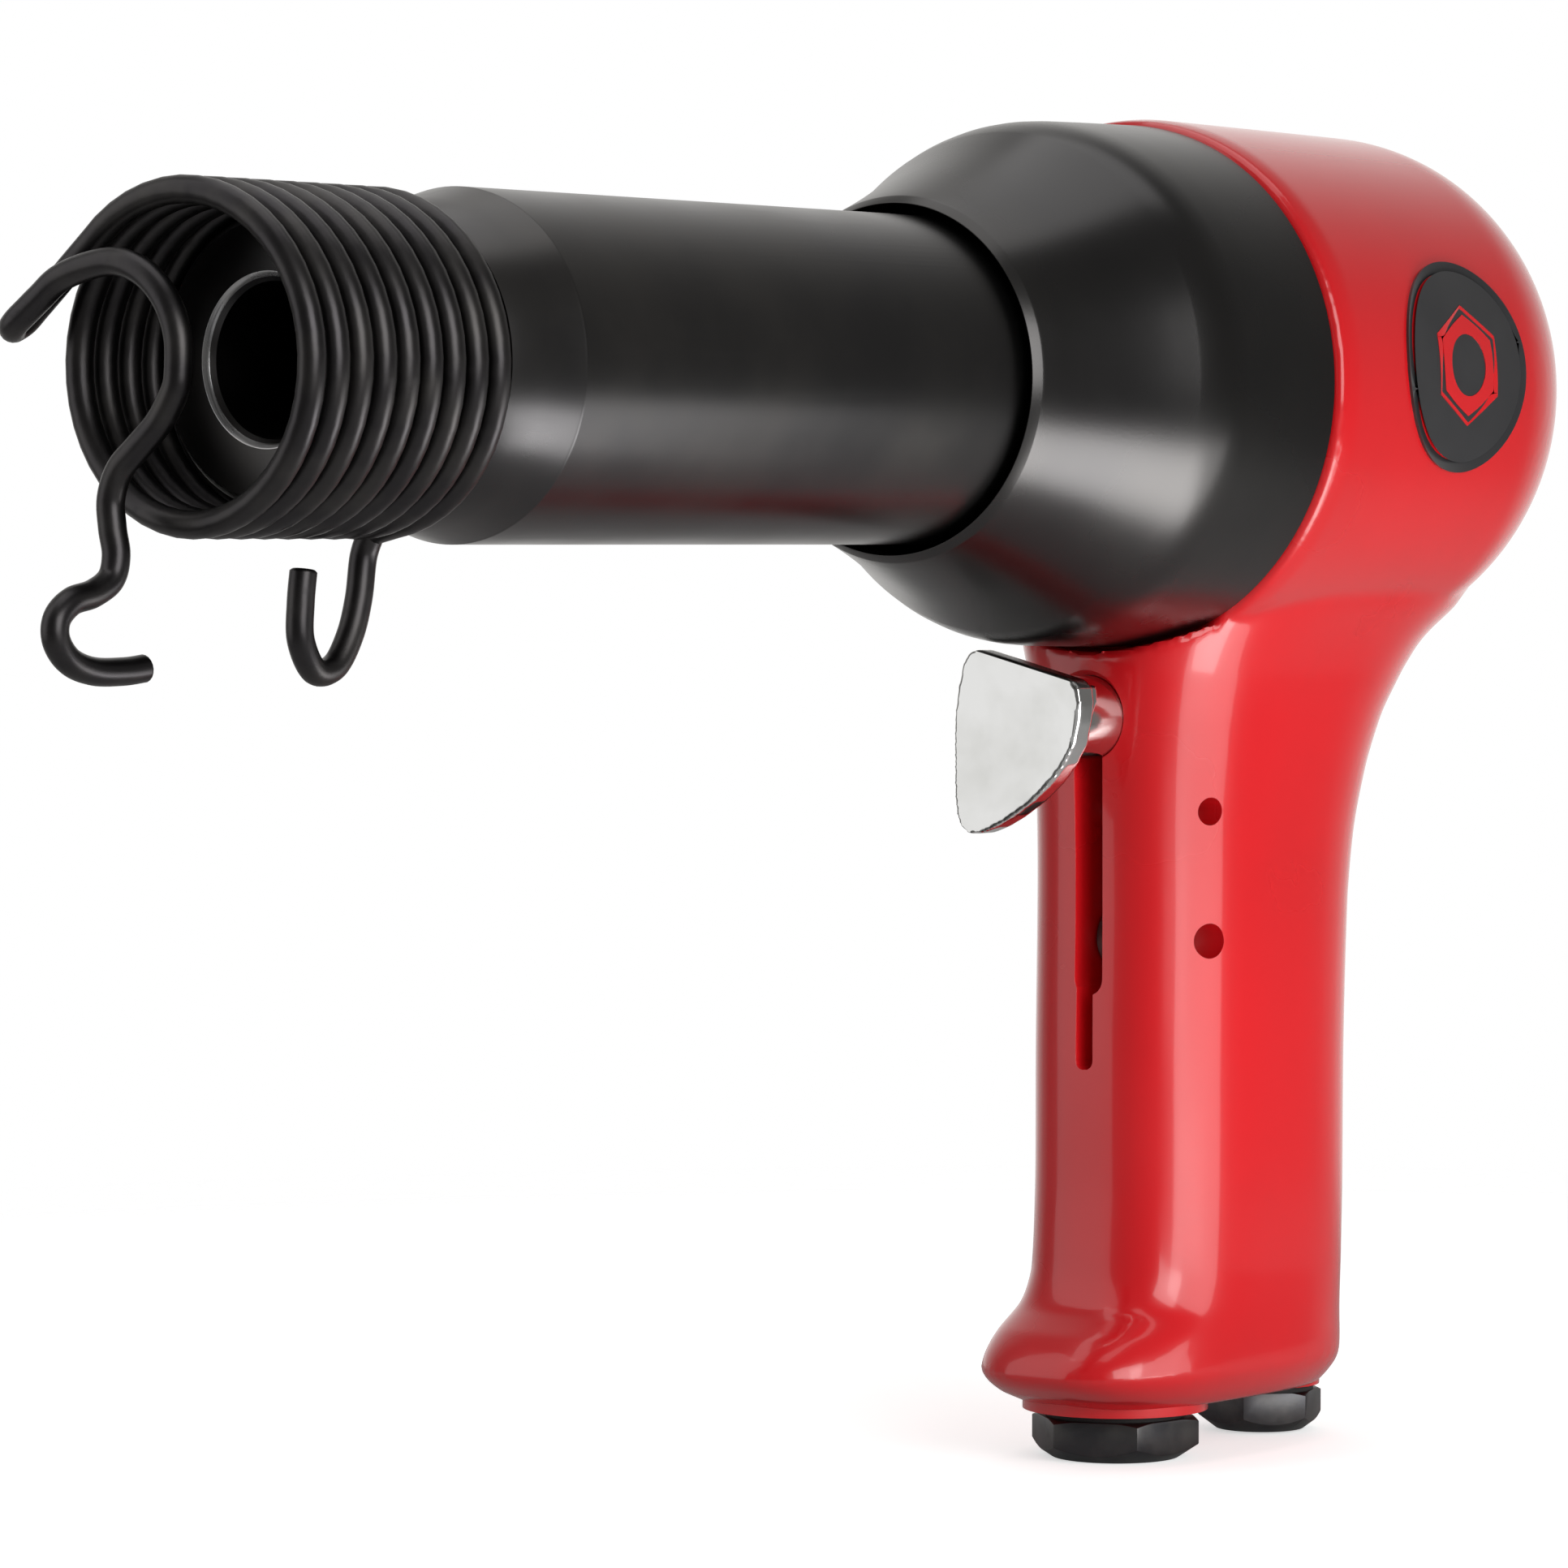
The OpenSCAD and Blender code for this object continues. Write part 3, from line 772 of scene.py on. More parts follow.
@dataclass
class ExhaustDeflector(Part):
    """The black bulb round the barrel's rear, open at the front."""

    front: float = 121.6
    mouth_radius: float = 23.5
    rear: float = 174.3
    radius: float = 36.3

    def outline(self) -> list[Station]:
        """Draw the outer skin, the rear face and the inner skin.

        Returns:
            A closed loop of stations.
        """
        skin = [
            (self.front, self.mouth_radius), (122.75, 24.42), (122.9, 24.5), (123.15, 24.6), (126.0, 25.6),
            (130.0, 27.1), (134.0, 28.7), (138.0, 30.4), (142.0, 32.3), (145.2, 33.95), (145.5, 34.1),
            (147.5, 34.9), (149.5, 35.45), (151.5, 35.75), (154.0, 35.9), (160.0, 36.05),
            (173.8, self.radius), (self.rear, self.radius - 0.4),
        ]
        inside = [
            (self.rear, 33.05), (152.0, 33.05), (149.5, 32.7), (145.5, 31.4), (142.0, 29.8), (138.0, 28.0),
            (134.0, 26.4), (130.0, 24.9), (126.0, self.mouth_radius - 0.1),
            (122.0, self.mouth_radius - 0.15),
        ]
        return skin + inside

    def build(self, shop: PaintShop) -> None:
        """Make the deflector."""
        shell = to_object(lathe(self.outline(), steps=160, closed=True), "exhaust_bulb")
        soften(shell, 0.15, 2, 60.0)
        shade(shell, 30.0)
        shop.dress(shell, Body.HAMMER, "deflector_black", "exhaust_deflector")


@dataclass
class Retainer(Part):
    """The wire retainer: coil with rear hook and hairpin, and the gate over the mouth."""

    wire_radius: float = 1.7
    coil_radius: float = 19.7
    rear: float = 20.1
    front: float = -15.2
    turns: float = 8.625
    steps: int = 48
    gate_x: float = -19.0
    pivot: Point = (-19.0, 20.9, 5.95)
    strand: Point = (0.0, -0.82, 0.5724)
    hook_y: float = 2.6
    finger_y: float = 6.5
    arch_radius: float = 11.3
    arch_y: float = 7.6
    hinge_gap: float = 0.015

    def coil(self) -> list[Vector]:
        """Draw the coil from its rear end, bottom first and over the left side.

        Returns:
            Its points, in metres.
        """
        count = int(self.turns * self.steps)
        points = []
        for i in range(1, count + 1):
            angle = FULL_TURN * i / self.steps
            x = self.rear + (self.front - self.rear) * i / (self.turns * self.steps)
            points.append(at(x, -self.coil_radius * math.sin(angle), -self.coil_radius * math.cos(angle)))
        return points

    def along_strand(self, distance: float) -> Point:
        """Find a point on the returning strand.

        Args:
            distance: Millimetres from the gate's pivot towards the gate.

        Returns:
            The station.
        """
        return tuple(p + distance * d for p, d in zip(self.pivot, self.strand))

    def build(self, shop: PaintShop) -> None:
        """Sweep both wires."""
        y = self.hook_y
        hook = curve_through([
            (9.1, y, -25.2), (8.6, y, -29.0), (8.6, y, -33.5), (11.0, y, -37.2), (14.6, y, -36.7),
            (17.4, y, -33.0), (19.0, y, -28.5), (19.9, y, -23.4), (20.1, 1.4, -20.4)], 8)
        coil = self.coil()
        lead = curve_through([
            (-15.3, 17.3, 11.1), (-15.4, 20.3, 8.5), (-15.6, 22.7, 6.4), (-16.1, 24.3, 4.7),
            (-17.3, 24.9, 3.8), (-18.5, 24.0, 3.95), self.along_strand(-2.2),
            self.along_strand(-self.hinge_gap)], 8)
        wire = sweep_wire(hook + coil + lead, self.wire_radius, (True, False))
        fixed = to_object(wire, "retainer_wire")
        shade(fixed, 70.0)
        shop.dress(fixed, Body.HAMMER, "spring_wire", "retainer_coil")
        gate = to_object(sweep_wire(self.gate(), self.wire_radius, (False, True)), "gate_wire")
        shade(gate, 70.0)
        shop.dress(gate, Body.GATE, "spring_wire", "retainer_gate")

    def gate(self) -> list[Vector]:
        """Draw the gate: arch, leg and finger hook.

        Returns:
            Its points, in metres.
        """
        x, y = self.gate_x, self.finger_y
        over = [(x, self.arch_y + self.arch_radius * math.cos(math.radians(a)),
                 self.arch_radius * math.sin(math.radians(a))) for a in range(75, 191, 23)]
        leg = [(x, -2.9, -4.2), (x, -0.5, -7.6), (x, 2.9, -10.5), (x, 5.9, -13.1), (x, 7.4, -16.5),
               (x, 7.2, -20.0), (x, 6.6, -23.2)]
        finger = [(-20.0, y, -26.0), (-23.0, y, -27.7), (-26.6, y, -28.6), (-29.0, y, -30.6),
                  (-29.1, y, -33.2), (-26.9, y, -35.6), (-23.0, y, -36.8), (-18.0, y, -36.9),
                  (-14.6, y, -36.6)]
        start = [self.along_strand(self.hinge_gap), self.along_strand(2.5), (x, 15.6, 9.5)]
        return curve_through(start + over + leg + finger, 8)


@dataclass
class Handle(Part):
    """The red casting: head with a domed back, and the grip blended into it."""

    rim: float = 174.6
    head_radius: float = 37.35
    dome_start: float = 222.0
    dome_radius: float = 36.9
    dome_depth: float = 31.5
    squareness: float = 3.0
    spigot_radius: float = 29.05
    spigot_end: float = 189.0
    plenum_radius: float = 26.0
    plenum_x: float = 195.0
    throttle_radius: float = 5.9
    throttle_x: float = 190.0
    inlet_radius: float = 8.0
    plug_radius: float = 6.0
    pin_holes: tuple[Station, Station] = ((-77.0, 2.45), (-59.0, 1.95))
    seats: tuple[Station, Station] = ((INLET_X, 13.0), (PLUG_X, 8.6))
    neck_front: float = 150.0
    neck_radius: float = 36.8
    voxel: float = 0.68
    smoothing: int = 7
    spacing: float = 1.6
    wall_y: float = 15.9
    face_x: float = 166.9
    grip: list[tuple[float, float, float, float]] = field(default_factory=lambda: [
        (-141.8, 161.9, 212.8, 13.5), (-141.5, 161.4, 213.3, 14.2), (-140.0, 157.5, 214.6, 15.6),
        (-138.5, 155.3, 215.8, 16.6), (-137.0, 154.3, 215.9, 17.3), (-134.8, 155.3, 216.0, 17.2),
        (-131.5, 158.5, 216.2, 16.7), (-128.5, 163.5, 216.3, 16.3), (-124.0, 165.9, 216.7, 16.0),
        (-112.0, 166.8, 217.0, 16.0), (-92.0, 166.9, 217.2, 16.0), (-72.0, 167.2, 218.2, 16.0),
        (-62.0, 167.1, 219.9, 16.1), (-53.0, 166.9, 222.8, 16.6), (-46.0, 166.6, 226.2, 17.4),
        (-40.0, 166.4, 230.5, 18.6), (-35.5, 166.3, 234.2, 20.2), (-31.0, 166.3, 240.7, 22.4),
        (-24.0, 167.0, 246.0, 25.0)])

    def head(self) -> Mesh:
        """Make the turned head.

        Returns:
            A solid.
        """
        dome = arc((self.dome_start, 0.0), (self.dome_depth, self.dome_radius), 90.0, 0.0, 24)
        dome[-1] = (dome[-1][0], 0.0)
        rim = [(0.0, 0.0), (0.0, self.head_radius - 0.85), (0.3, self.head_radius - 0.45),
               (3.4, self.head_radius)]
        return lathe([(self.rim + x, r) for x, r in rim] + dome)

    def grip_solid(self) -> Mesh:
        """Carry one rounded section up through the grip's stations.

        Returns:
            A solid.
        """
        bm = bmesh.new()
        bmesh.ops.create_circle(bm, cap_ends=False, segments=96, radius=1.0)
        power = 2.0 / self.squareness
        for vert in bm.verts:
            vert.co.x = math.copysign(abs(vert.co.x) ** power, vert.co.x)
            vert.co.y = math.copysign(abs(vert.co.y) ** power, vert.co.y)
        places = [Matrix.Translation(at((front + rear) / 2.0, 0.0, z))
                  @ Matrix.Diagonal(((rear - front) / 2.0 * MM, half * MM, 1.0, 1.0))
                  for z, front, rear, half in self.stations()]
        bmesh.ops.transform(bm, matrix=places[0], verts=bm.verts)
        loft(bm, places)
        return bm

    def stations(self) -> list[tuple[float, ...]]:
        """Add smooth stations between the grip's own.

        Returns:
            Stations as (z, front, rear, half width).
        """
        rows = [Vector(row) for row in self.grip]
        last = len(rows) - 1
        drawn = []
        for i in range(last):
            a, b, c, d = rows[max(i - 1, 0)], rows[i], rows[i + 1], rows[min(i + 2, last)]
            spans = max(1, round((c[0] - b[0]) / self.spacing))
            for k in range(spans):
                row = fair(a, b, c, d, k / spans)
                row[0] = b[0] + (c[0] - b[0]) * k / spans
                drawn.append(tuple(row))
        return drawn + [tuple(rows[last])]

    def cutters(self) -> list[Mesh]:
        """Make the cutters, with small chamfers where a bore breaks out.

        Returns:
            Everything that is cut from the casting.
        """
        z = THROTTLE_Z
        tools = [
            rod(Axis.X, at((self.rim + self.spigot_end) / 2.0 - 5.0), self.spigot_radius,
                self.spigot_end - self.rim + 10.0, 128),
            rod(Axis.X, at(self.plenum_x), self.plenum_radius, 16.0, 96),
            rod(Axis.X, at(self.throttle_x, 0.0, z), self.throttle_radius, 48.0, 64),
            rod(Axis.X, at(166.4, 0.0, z), self.throttle_radius + 1.6, 1.8, 64,
                self.throttle_radius - 0.2),
            rod(Axis.Z, at(INLET_X, 0.0, -138.0), self.inlet_radius, 21.0, 64),
            rod(Axis.Z, at(PLUG_X, 0.0, -138.0), self.plug_radius, 14.0, 48),
            self.slot(4.6, -84.6, z, 12.0),
            self.slot(2.6, -95.0, z, 9.0, 0.6),
        ]
        for hole_z, radius in self.pin_holes:
            tools.append(rod(Axis.Y, at(LEVER_X, 0.0, hole_z), radius, 44.0, 40))
            for side in (-1.0, 1.0):
                wide, narrow = radius + 1.4, radius - 0.15
                ends = (wide, narrow) if side < 0 else (narrow, wide)
                place = at(LEVER_X, side * self.wall_y, hole_z)
                tools.append(rod(Axis.Y, place, ends[0], 1.9, 40, ends[1]))
        return tools

    def slot(self, width: float, low: float, high: float, depth: float,
             shift: float = 0.0) -> Mesh:
        """Cutter of one step of the lever slot, round at its foot and flared at the grip's face.

        Args:
            width: Width of the slot.
            low: Height of its foot.
            high: Height of its head.
            depth: Depth behind the grip's face.
            shift: How far it lies to the tool's right.

        Returns:
            A closed mesh.
        """
        bm = bmesh.new()
        half = width / 2.0
        foot = arc((0.0, low + half), (half, half), 180.0, 360.0, 12)
        rim = [(half, high), (-half, high)]
        verts = [bm.verts.new(at(self.face_x + depth, y + shift, z)) for y, z in foot + rim]
        front = bm.faces.new(verts)
        for behind, grow in ((0.35, 0.0), (-0.5, 0.45), (-4.0, 0.45)):
            extruded = bmesh.ops.extrude_face_region(bm, geom=[front])
            moved = verts_of(extruded)
            if front.is_valid:
                bmesh.ops.delete(bm, geom=[front], context="FACES_ONLY")
            front = next(item for item in extruded["geom"] if isinstance(item, bmesh.types.BMFace))
            centre = at(0.0, 0.0, (low + high) / 2.0)
            for vert in moved:
                vert.co.x = at(self.face_x + behind).x
                vert.co.y += math.copysign(grow * MM, vert.co.y - shift * MM)
                vert.co.z += math.copysign(grow * MM * 0.5, vert.co.z - centre.z)
        bmesh.ops.holes_fill(bm, edges=bm.edges, sides=0)
        tidy(bm)
        return bm

    def build(self, shop: PaintShop) -> None:
        """Blend head and grip into one skin, then cut the bores."""
        casting = to_object(self.head(), "handle_casting")
        grip = to_object(self.grip_solid(), "grip")
        neck_rear = self.rim + 0.2
        neck = rod(Axis.X, at((self.neck_front + neck_rear) / 2.0), self.neck_radius,
                   neck_rear - self.neck_front, 128)
        combine(grip, [neck], "DIFFERENCE")
        combine(casting, [to_bmesh(grip)], "UNION")
        reskin(casting, self.voxel, self.smoothing)
        seats = [rod(Axis.Z, at(x, 0.0, -140.3), radius, 5.0, 96) for x, radius in self.seats]
        combine(casting, seats, "UNION")
        combine(casting, self.cutters(), "DIFFERENCE")
        shade(casting, 32.0)
        shop.dress(casting, Body.HAMMER, "red_paint", "handle")


@dataclass
class Badge(Part):
    """A round charcoal label on the head's left, with a plain hexagon mark."""

    x: float = 205.6
    z: float = 3.0
    radius: float = 15.0
    mark_radius: float = 8.4
    mark_hole: float = 4.3
    head_radius: float = 37.07
    label_lift: float = 0.55
    mark_lift: float = 0.62

    def wrap(self, bm: Mesh, lift: float) -> None:
        """Lay a flat mesh drawn in X and Z over the head's side.

        Args:
            bm: Mesh whose X and Z are offsets from the badge's centre, in metres.
            lift: Height above the head, in millimetres.
        """
        for vert in bm.verts:
            shrink = vert.co.y
            round_r = (self.head_radius + lift + shrink) * MM
            angle = (vert.co.z + self.z * MM) / (self.head_radius * MM)
            along = at(self.x).x + vert.co.x
            vert.co = Vector((along, -round_r * math.cos(angle), round_r * math.sin(angle)))

    def ring(self, radius: float) -> list[Station]:
        """List the points of a circle, three degrees apart.

        Args:
            radius: Its radius.

        Returns:
            The points.
        """
        return arc((0.0, 0.0), (radius, radius), 0.0, 357.0, 119)

    def plate(self, outer: Sequence[Station], inner: Sequence[Station], rings: int) -> Mesh:
        """Ring of faces between two loops, with a lip turned in at its rims.

        Args:
            outer: Outer loop, millimetres from the centre.
            inner: Inner loop with as many points.
            rings: Rows of faces between them.

        Returns:
            A mesh whose Y holds the depth of its lips, in millimetres.
        """
        bm = bmesh.new()
        loops = []
        levels = [(0.0, -0.5)] + [(i / rings, 0.0) for i in range(rings + 1)]
        if max(inner[0]) > 0.5:
            levels.append((1.0, -0.5))
        for share, depth in levels:
            loops.append([bm.verts.new(((a[0] + (b[0] - a[0]) * share) * MM, depth,
                                        (a[1] + (b[1] - a[1]) * share) * MM))
                          for a, b in zip(outer, inner)])
        for one, two in zip(loops, loops[1:]):
            edges = []
            for loop in (one, two):
                for a, b in zip(loop, loop[1:] + loop[:1]):
                    edges.append(bm.edges.get((a, b)) or bm.edges.new((a, b)))
            bmesh.ops.bridge_loops(bm, edges=edges)
        return bm

    def build(self, shop: PaintShop) -> None:
        """Make the label and its mark."""
        disc = self.plate(self.ring(self.radius), self.ring(0.02), 10)
        bmesh.ops.holes_fill(disc, edges=disc.edges, sides=0)
        self.wrap(disc, self.label_lift)
        tidy(disc)
        label = to_object(disc, "badge_label")
        shade(label, 50.0)
        shop.dress(label, Body.HAMMER, "badge_black", "badge")
        angles = [3.0 * i for i in range(120)]
        flat = self.mark_radius * math.cos(math.radians(30.0))
        hexagon = []
        for a in angles:
            reach = flat / math.cos(math.radians((a + 30.0) % 60.0 - 30.0))
            hexagon.append((reach * math.cos(math.radians(a)), reach * math.sin(math.radians(a))))
        mark = self.plate(hexagon, self.ring(self.mark_hole), 3)
        self.wrap(mark, self.mark_lift)
        tidy(mark)
        nut = to_object(mark, "badge_mark")
        shade(nut, 50.0)
        shop.dress(nut, Body.HAMMER, "red_paint")


@dataclass
class Trigger(Part):
    """The chrome trigger: a plate with a rolled rim, the wedge behind it and the round boss."""

    top: float = -38.4
    shift: float = 1.0
    thickness: float = 3.7
    wedge_inset: float = 0.9
    roll: float = 14.0
    boss_x: float = 163.6
    boss_radius: float = 5.85
    boss_length: float = 18.8
    voxel: float = 0.28
    half: list[Station] = field(default_factory=lambda: [
        (8.2, -38.4), (9.6, -39.2), (10.3, -41.0), (10.5, -44.0), (10.4, -47.0), (9.7, -50.0), (8.5, -53.0),
        (6.9, -56.0), (5.2, -58.5), (3.6, -60.4), (1.8, -61.8)])
    tip: float = -62.3
    face: list[Station] = field(default_factory=lambda: [
        (150.4, -36.0), (151.0, -44.0), (151.2, -47.0), (151.0, -50.0), (150.4, -53.0), (149.3, -56.0),
        (148.0, -58.5), (146.8, -60.5), (145.2, -63.0)])
    rear: list[Station] = field(default_factory=lambda: [
        (148.9, -63.0), (149.8, -60.5), (151.2, -58.5), (152.6, -56.0), (153.7, -53.0), (154.4, -50.5),
        (157.2, -36.0)])

    def prism(self, loop: Sequence[Vector], way: Vector) -> Mesh:
        """Extrude a flat loop into a solid.

        Args:
            loop: Its corners, in metres.
            way: How far and where to extrude it.

        Returns:
            A closed mesh.
        """
        bm = bmesh.new()
        face = bm.faces.new([bm.verts.new(point) for point in loop])
        extruded = bmesh.ops.extrude_face_region(bm, geom=[face], use_keep_orig=True)
        bmesh.ops.translate(bm, verts=verts_of(extruded), vec=way)
        tidy(bm)
        return bm

    def seen_from_front(self, inset: float) -> Mesh:
        """Extrude the plate's outline.

        Args:
            inset: How much smaller than the plate, all round.

        Returns:
            A bar along X.
        """
        side = [(y - inset, max(min(z, self.top - inset), self.tip + inset)) for y, z in self.half]
        loop = side + [(0.0, self.tip + inset)] + [(-y, z) for y, z in reversed(side)]
        return self.prism([at(135.0, y + self.shift, z) for y, z in loop], Vector((30.0 * MM, 0.0, 0.0)))

    def seen_from_side(self, front: float, rear: Sequence[Station]) -> Mesh:
        """Extrude the side view.

        Args:
            front: How far behind the plate's face it starts.
            rear: Stations of its rear, from the foot up.

        Returns:
            A bar along Y.
        """
        loop = [(x + front, z) for x, z in self.face] + list(rear)
        return self.prism([at(x, -20.0, z) for x, z in loop], Vector((0.0, 40.0 * MM, 0.0)))

    def carved(self, name: str, outline: Mesh, view: Mesh, passes: int) -> Object:
        """Cut a bar to its side view and round its edges.

        Args:
            name: Name of the object.
            outline: The bar along X.
            view: The bar along Y.
            passes: Smoothing passes.

        Returns:
            The solid.
        """
        obj = to_object(outline, name)
        combine(obj, [view], "INTERSECT")
        reskin(obj, self.voxel, passes)
        return obj

    def build(self, shop: PaintShop) -> None:
        """Join plate, wedge and boss, and roll them about the boss."""
        back = [(x + self.thickness, z) for x, z in reversed(self.face)]
        shape = self.carved("trigger_chrome", self.seen_from_front(0.0),
                            self.seen_from_side(0.0, back), 14)
        wedge = self.carved("wedge", self.seen_from_front(self.wedge_inset),
                            self.seen_from_side(1.2, self.rear), 3)
        boss = rod(Axis.X, at(self.boss_x, 0.0, THROTTLE_Z), self.boss_radius, self.boss_length, 64)
        combine(shape, [to_bmesh(wedge), boss], "UNION")
        centre = at(MOUTH, 0.0, THROTTLE_Z)
        turn = Matrix.Translation(centre) @ Matrix.Rotation(math.radians(self.roll), 4, "X")
        shape.data.transform(turn @ Matrix.Translation(-centre))
        shade(shape, 40.0)
        shop.dress(shape, Body.TRIGGER, "chrome", "trigger")


@dataclass
class HexFitting(Part):
    """A hexagon fitting under the grip, with a threaded or a plain socket."""

    name: str
    node: str
    x: float
    across_flats: float
    turn: float
    top: float
    face: float
    stem_radius: float
    stem_length: float
    bore: float
    bore_depth: float
    thread_pitch: float = 0.0

    def build(self, shop: PaintShop) -> None:
        """Make the fitting."""
        corner = self.across_flats / 2.0 / math.cos(math.radians(30.0))
        height = self.top - self.face
        middle = at(self.x, 0.0, (self.top + self.face) / 2.0)
        body = rod(Axis.Z, middle, corner, height, 6)
        about = Matrix.Translation(middle) @ Matrix.Rotation(math.radians(self.turn + 90.0), 4, "Z")
        bmesh.ops.transform(body, matrix=about @ Matrix.Translation(-middle), verts=body.verts)
        obj = to_object(body, self.name)
        flat = self.across_flats / 2.0
        cone = self.turned([(0.0, self.face), (flat - 1.6, self.face), (corner + 0.1, self.face + 2.2),
                            (corner + 0.1, self.top - 0.5), (flat + 0.4, self.top), (0.0, self.top)])
        combine(obj, [cone], "INTERSECT")
        soften(obj, 0.22, 2, 20.0)
        settle(obj)
        stem_middle = at(self.x, 0.0, self.top + self.stem_length / 2.0 - 0.5)
        stem = rod(Axis.Z, stem_middle, self.stem_radius, self.stem_length + 1.0, 64)
        combine(obj, [stem], "UNION")
        combine(obj, [self.turned(self.socket())], "DIFFERENCE")
        shade(obj, 30.0)
        shop.dress(obj, Body.HAMMER, "fitting_steel", self.node)

    def socket(self) -> list[Station]:
        """Draw the socket's cutter, with thread grooves where it has a thread.

        Returns:
            Points as (radius, height).
        """
        low, high = self.face - 1.0, self.face + self.bore_depth
        points = [(0.0, low), (self.bore + 0.9, low), (self.bore + 0.9, self.face),
                  (self.bore, self.face + 0.9)]
        if self.thread_pitch:
            z = self.face + 1.2
            while z + self.thread_pitch < high:
                points += [(self.bore, z), (self.bore + 0.55, z + self.thread_pitch * 0.5),
                           (self.bore, z + self.thread_pitch * 0.96)]
                z += self.thread_pitch
        return points + [(self.bore, high), (0.0, high)]

    def turned(self, outline: Sequence[Station]) -> Mesh:
        """Turn an outline of (radius, height) about the fitting's own axis.

        Args:
            outline: Points from the axis and back to it.

        Returns:
            A closed mesh.
        """
        points = [at(self.x + r, 0.0, z) for r, z in outline]
        return spin(points, Axis.Z, at(self.x), 72)


@dataclass
class SoftBox:
    """One soft light.

    Attributes:
        name: Its name.
        place: Where it stands, in metres.
        target: What it faces, in metres.
        size: Width and height, in metres.
        radiance: Brightness of its face.
    """

    name: str
    place: Point
    target: Point
    size: tuple[float, float]
    radiance: float

    def build(self) -> None:
        """Hang the light."""
        data = bpy.data.lights.new(self.name, "AREA")
        data.shape = "RECTANGLE"
        data.size, data.size_y = self.size
        data.energy = self.radiance * math.pi * self.size[0] * self.size[1]
        obj = bpy.data.objects.new(self.name, data)
        bpy.context.scene.collection.objects.link(obj)
        obj.visible_camera = False
        obj.location = self.place
        obj.rotation_mode = "QUATERNION"
        obj.rotation_quaternion = (Vector(self.target) - Vector(self.place)).to_track_quat("-Z", "Y")


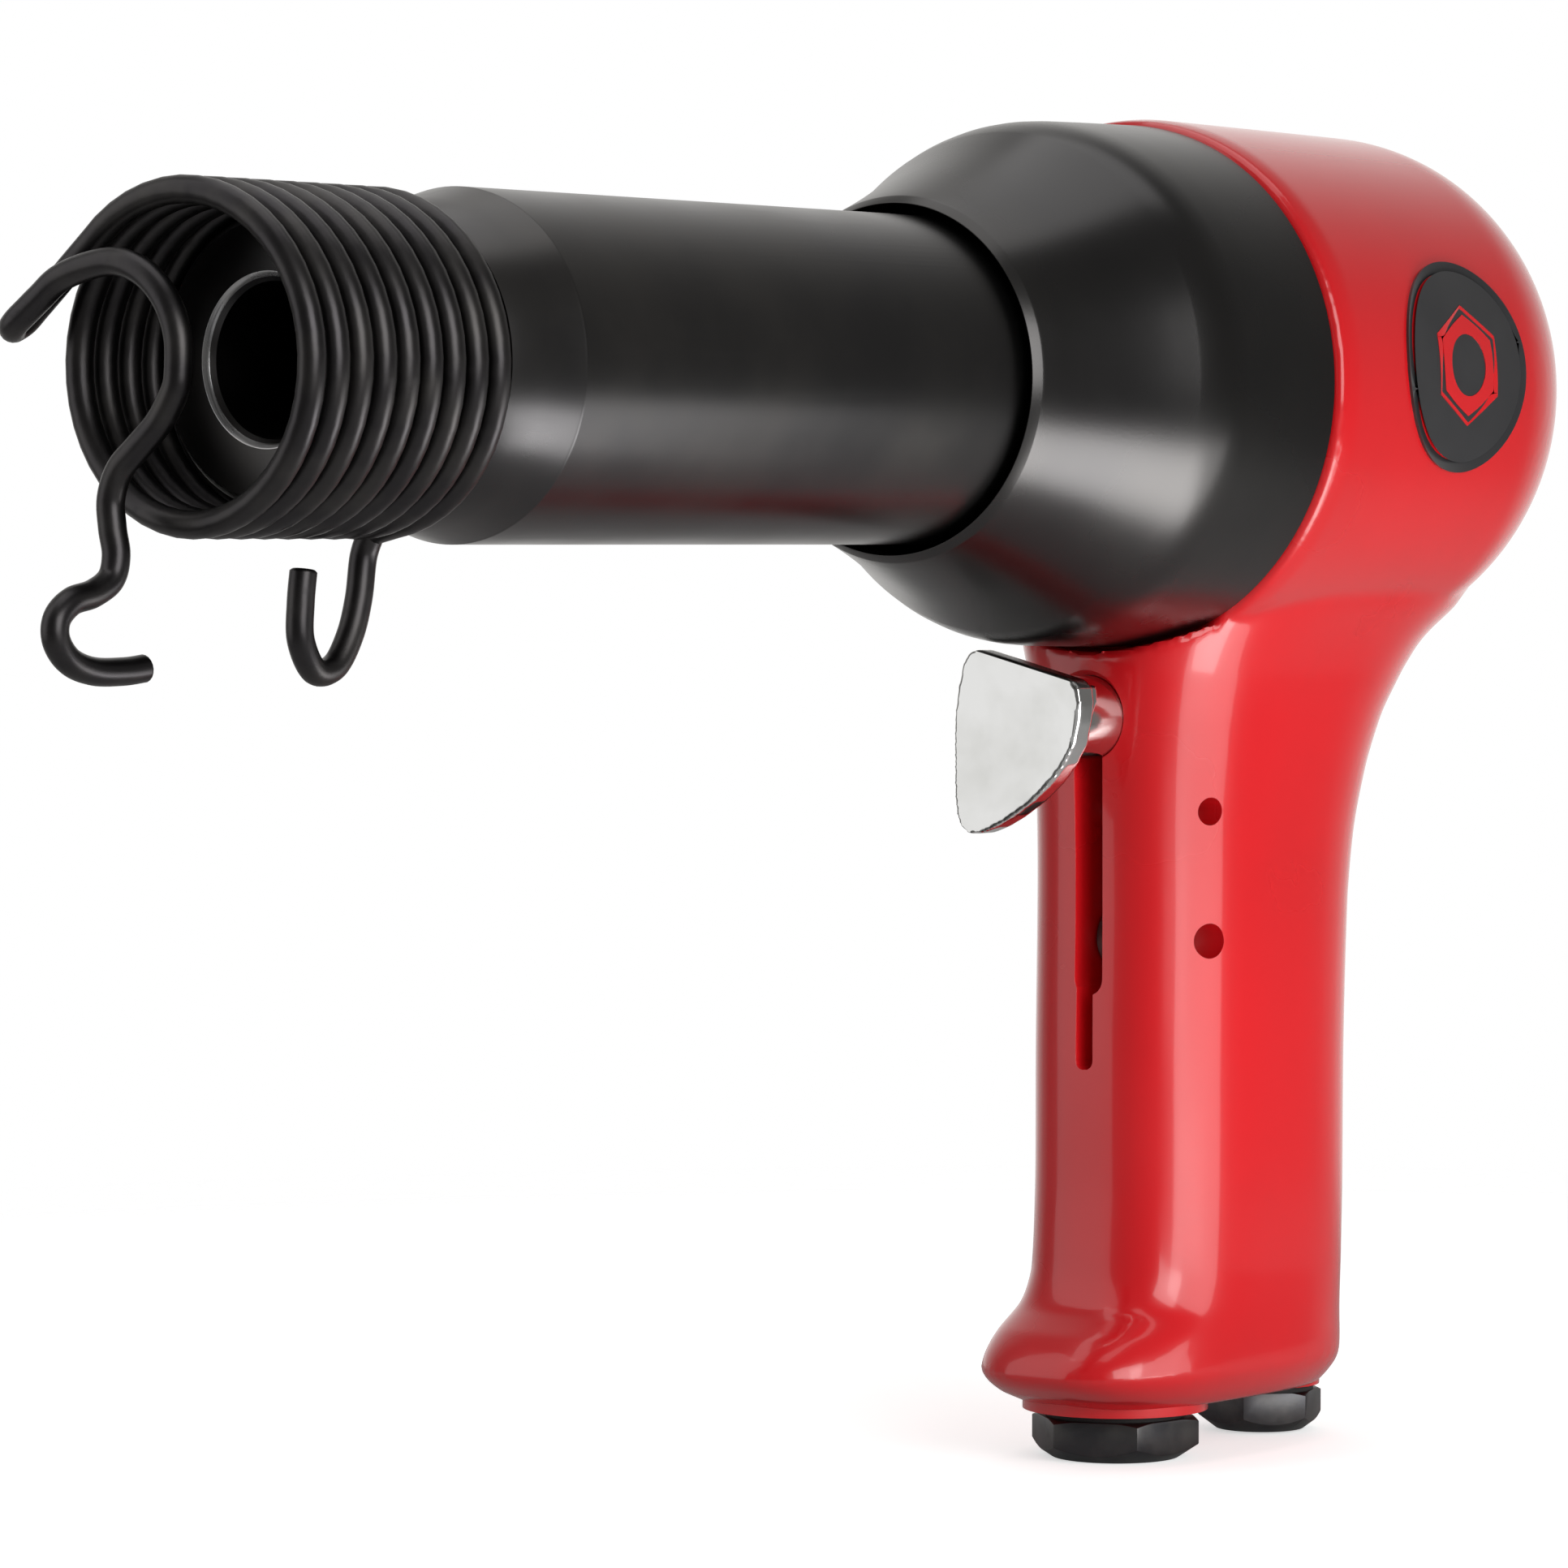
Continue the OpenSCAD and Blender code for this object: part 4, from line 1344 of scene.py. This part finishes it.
@dataclass
class Studio:
    """Camera, pale floor and soft light."""

    azimuth: float = -51.589
    elevation: float = 2.077
    camera_place: Point = (-0.5962, -0.5417, -0.0217)
    lens: float = 153.0
    floor_centre: Point = (0.12, -0.05, 0.0)
    floor_reach: float = 0.5
    lights: list[SoftBox] = field(default_factory=lambda: [
        SoftBox("low_card", (0.145, -0.22, -0.145), (0.145, -0.22, 1.0), (0.13, 0.20), 4.2),
        SoftBox("corner_strip", (0.17, -0.15, -0.102), (0.17, 0.0, -0.102), (0.14, 0.094), 2.2),
        SoftBox("trigger_fill", (-0.44, 0.50, 0.25), (0.14, 0.0, -0.05), (0.60, 1.10), 0.8),
        SoftBox("side_key", (-0.28, -1.00, 0.25), (0.16, 0.0, -0.05), (0.70, 0.70), 3.6),
        SoftBox("top", (0.12, 0.05, 0.75), (0.12, 0.0, 0.0), (0.90, 0.70), 1.1),
    ])

    def camera(self) -> None:
        """Set the camera up at the viewing angle."""
        a, e = math.radians(self.azimuth), math.radians(self.elevation)
        back = Vector((math.sin(a) * math.cos(e), -math.cos(a) * math.cos(e), math.sin(e)))
        data = bpy.data.cameras.new("view")
        data.lens, data.sensor_width = self.lens, 36.0
        data.clip_start, data.clip_end = 0.02, 30.0
        obj = bpy.data.objects.new("view", data)
        bpy.context.scene.collection.objects.link(obj)
        obj.location = self.camera_place
        obj.rotation_mode = "QUATERNION"
        obj.rotation_quaternion = (-back).to_track_quat("-Z", "Y")
        bpy.context.scene.camera = obj

    def floor(self, height: float) -> None:
        """Lay a pale floor.

        Args:
            height: Its height in the frame.
        """
        bm = bmesh.new()
        x, y, _ = self.floor_centre
        bmesh.ops.create_circle(bm, cap_ends=True, segments=96, radius=self.floor_reach,
                                matrix=Matrix.Translation((x, y, height)))
        obj = to_object(bm, "studio_floor")
        material = bpy.data.materials.new("pale_floor")
        material.use_nodes = True
        sheet = NodeSheet(material.node_tree)
        shader = material.node_tree.nodes["Principled BSDF"]
        shader.inputs["Roughness"].default_value = 0.9
        shader.inputs["Emission Color"].default_value = (1.0, 1.0, 1.0, 1.0)
        seen = sheet.add("ShaderNodeLightPath").outputs["Is Camera Ray"]
        sheet.join(sheet.remap(seen, 0.0, 1.0, 0.45, 0.92), shader.inputs["Base Color"])
        sheet.join(sheet.remap(seen, 0.0, 1.0, 0.05, 0.55), shader.inputs["Emission Strength"])
        coordinates = sheet.add("ShaderNodeTexCoord")
        distance = sheet.add("ShaderNodeVectorMath", operation="DISTANCE")
        distance.inputs[1].default_value = (x, y, height)
        sheet.join(coordinates.outputs["Object"], distance.inputs[0])
        fade = sheet.remap(distance.outputs["Value"], 0.6 * self.floor_reach, self.floor_reach, 1.0, 0.0)
        sheet.join(fade, shader.inputs["Alpha"])
        obj.data.materials.append(material)
        obj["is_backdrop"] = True

    def world(self) -> None:
        """White all round, darker towards the camera's side at mid height."""
        world = bpy.data.worlds.new("studio_white")
        bpy.context.scene.world = world
        world.use_nodes = True
        tree = world.node_tree
        tree.nodes.clear()
        sheet = NodeSheet(tree)
        output = sheet.add("ShaderNodeOutputWorld")
        coordinates = sheet.add("ShaderNodeTexCoord")
        facing = sheet.add("ShaderNodeVectorMath", operation="DOT_PRODUCT")
        a = math.radians(self.azimuth)
        facing.inputs[1].default_value = (math.sin(a), -math.cos(a), 0.0)
        sheet.join(coordinates.outputs["Generated"], facing.inputs[0])
        ramp = sheet.add("ShaderNodeValToRGB")
        stops = ramp.color_ramp.elements
        stops[0].position, stops[0].color = 0.0, (1.0, 1.0, 1.0, 1.0)
        stops[1].position, stops[1].color = 1.0, (0.12, 0.12, 0.12, 1.0)
        for position, level in ((0.105, 0.66), (0.205, 0.34), (0.29, 0.17)):
            stop = stops.new(position)
            stop.color = (level, level, level, 1.0)
        sheet.join(sheet.remap(facing.outputs["Value"], -1.0, 1.0, 0.0, 1.0), ramp.inputs["Fac"])
        seen = sheet.add("ShaderNodeBackground")
        seen.inputs["Color"].default_value = (1.0, 1.0, 1.0, 1.0)
        seen.inputs["Strength"].default_value = 1.0
        lit = sheet.add("ShaderNodeBackground")
        lit.inputs["Color"].default_value = (1.0, 0.985, 0.96, 1.0)
        sheet.join(ramp.outputs["Color"], lit.inputs["Strength"])
        path = sheet.add("ShaderNodeLightPath")
        mix = sheet.add("ShaderNodeMixShader")
        sheet.join(path.outputs["Is Camera Ray"], mix.inputs["Fac"])
        sheet.join(lit.outputs["Background"], mix.inputs[1])
        sheet.join(seen.outputs["Background"], mix.inputs[2])
        sheet.join(mix.outputs["Shader"], output.inputs["Surface"])

    def build(self, floor_height: float) -> None:
        """Set up everything round the tool.

        Args:
            floor_height: Height of the floor.
        """
        bpy.context.scene.view_settings.view_transform = "Standard"
        self.camera()
        self.floor(floor_height)
        self.world()
        for light in self.lights:
            light.build()


def main() -> None:
    """Build the tool on its frame and light it."""
    logging.basicConfig(level=logging.INFO, format="%(name)s: %(message)s")
    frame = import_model()
    cad_box = [list(corner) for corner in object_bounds()]
    shop = PaintShop()
    shop.dress_frame(frame)
    inlet = HexFitting("inlet_hex", "air_inlet_bushing", x=INLET_X, across_flats=21.0, turn=-9.5,
                       top=-143.8, face=-149.6, stem_radius=7.95, stem_length=15.9, bore=5.8,
                       bore_depth=14.0, thread_pitch=1.41)
    plug = HexFitting("plug_hex", "rear_plug", x=PLUG_X, across_flats=15.9, turn=20.0, top=-143.6,
                      face=-149.3, stem_radius=5.95, stem_length=9.0, bore=2.4, bore_depth=1.0)
    parts = [Barrel(), ExhaustDeflector(), Retainer(), Handle(), Badge(), Trigger(), inlet, plug]
    for part in parts:
        part.build(shop)
    Studio().build(cad_box[0][2])


if __name__ == "__main__":
    main()
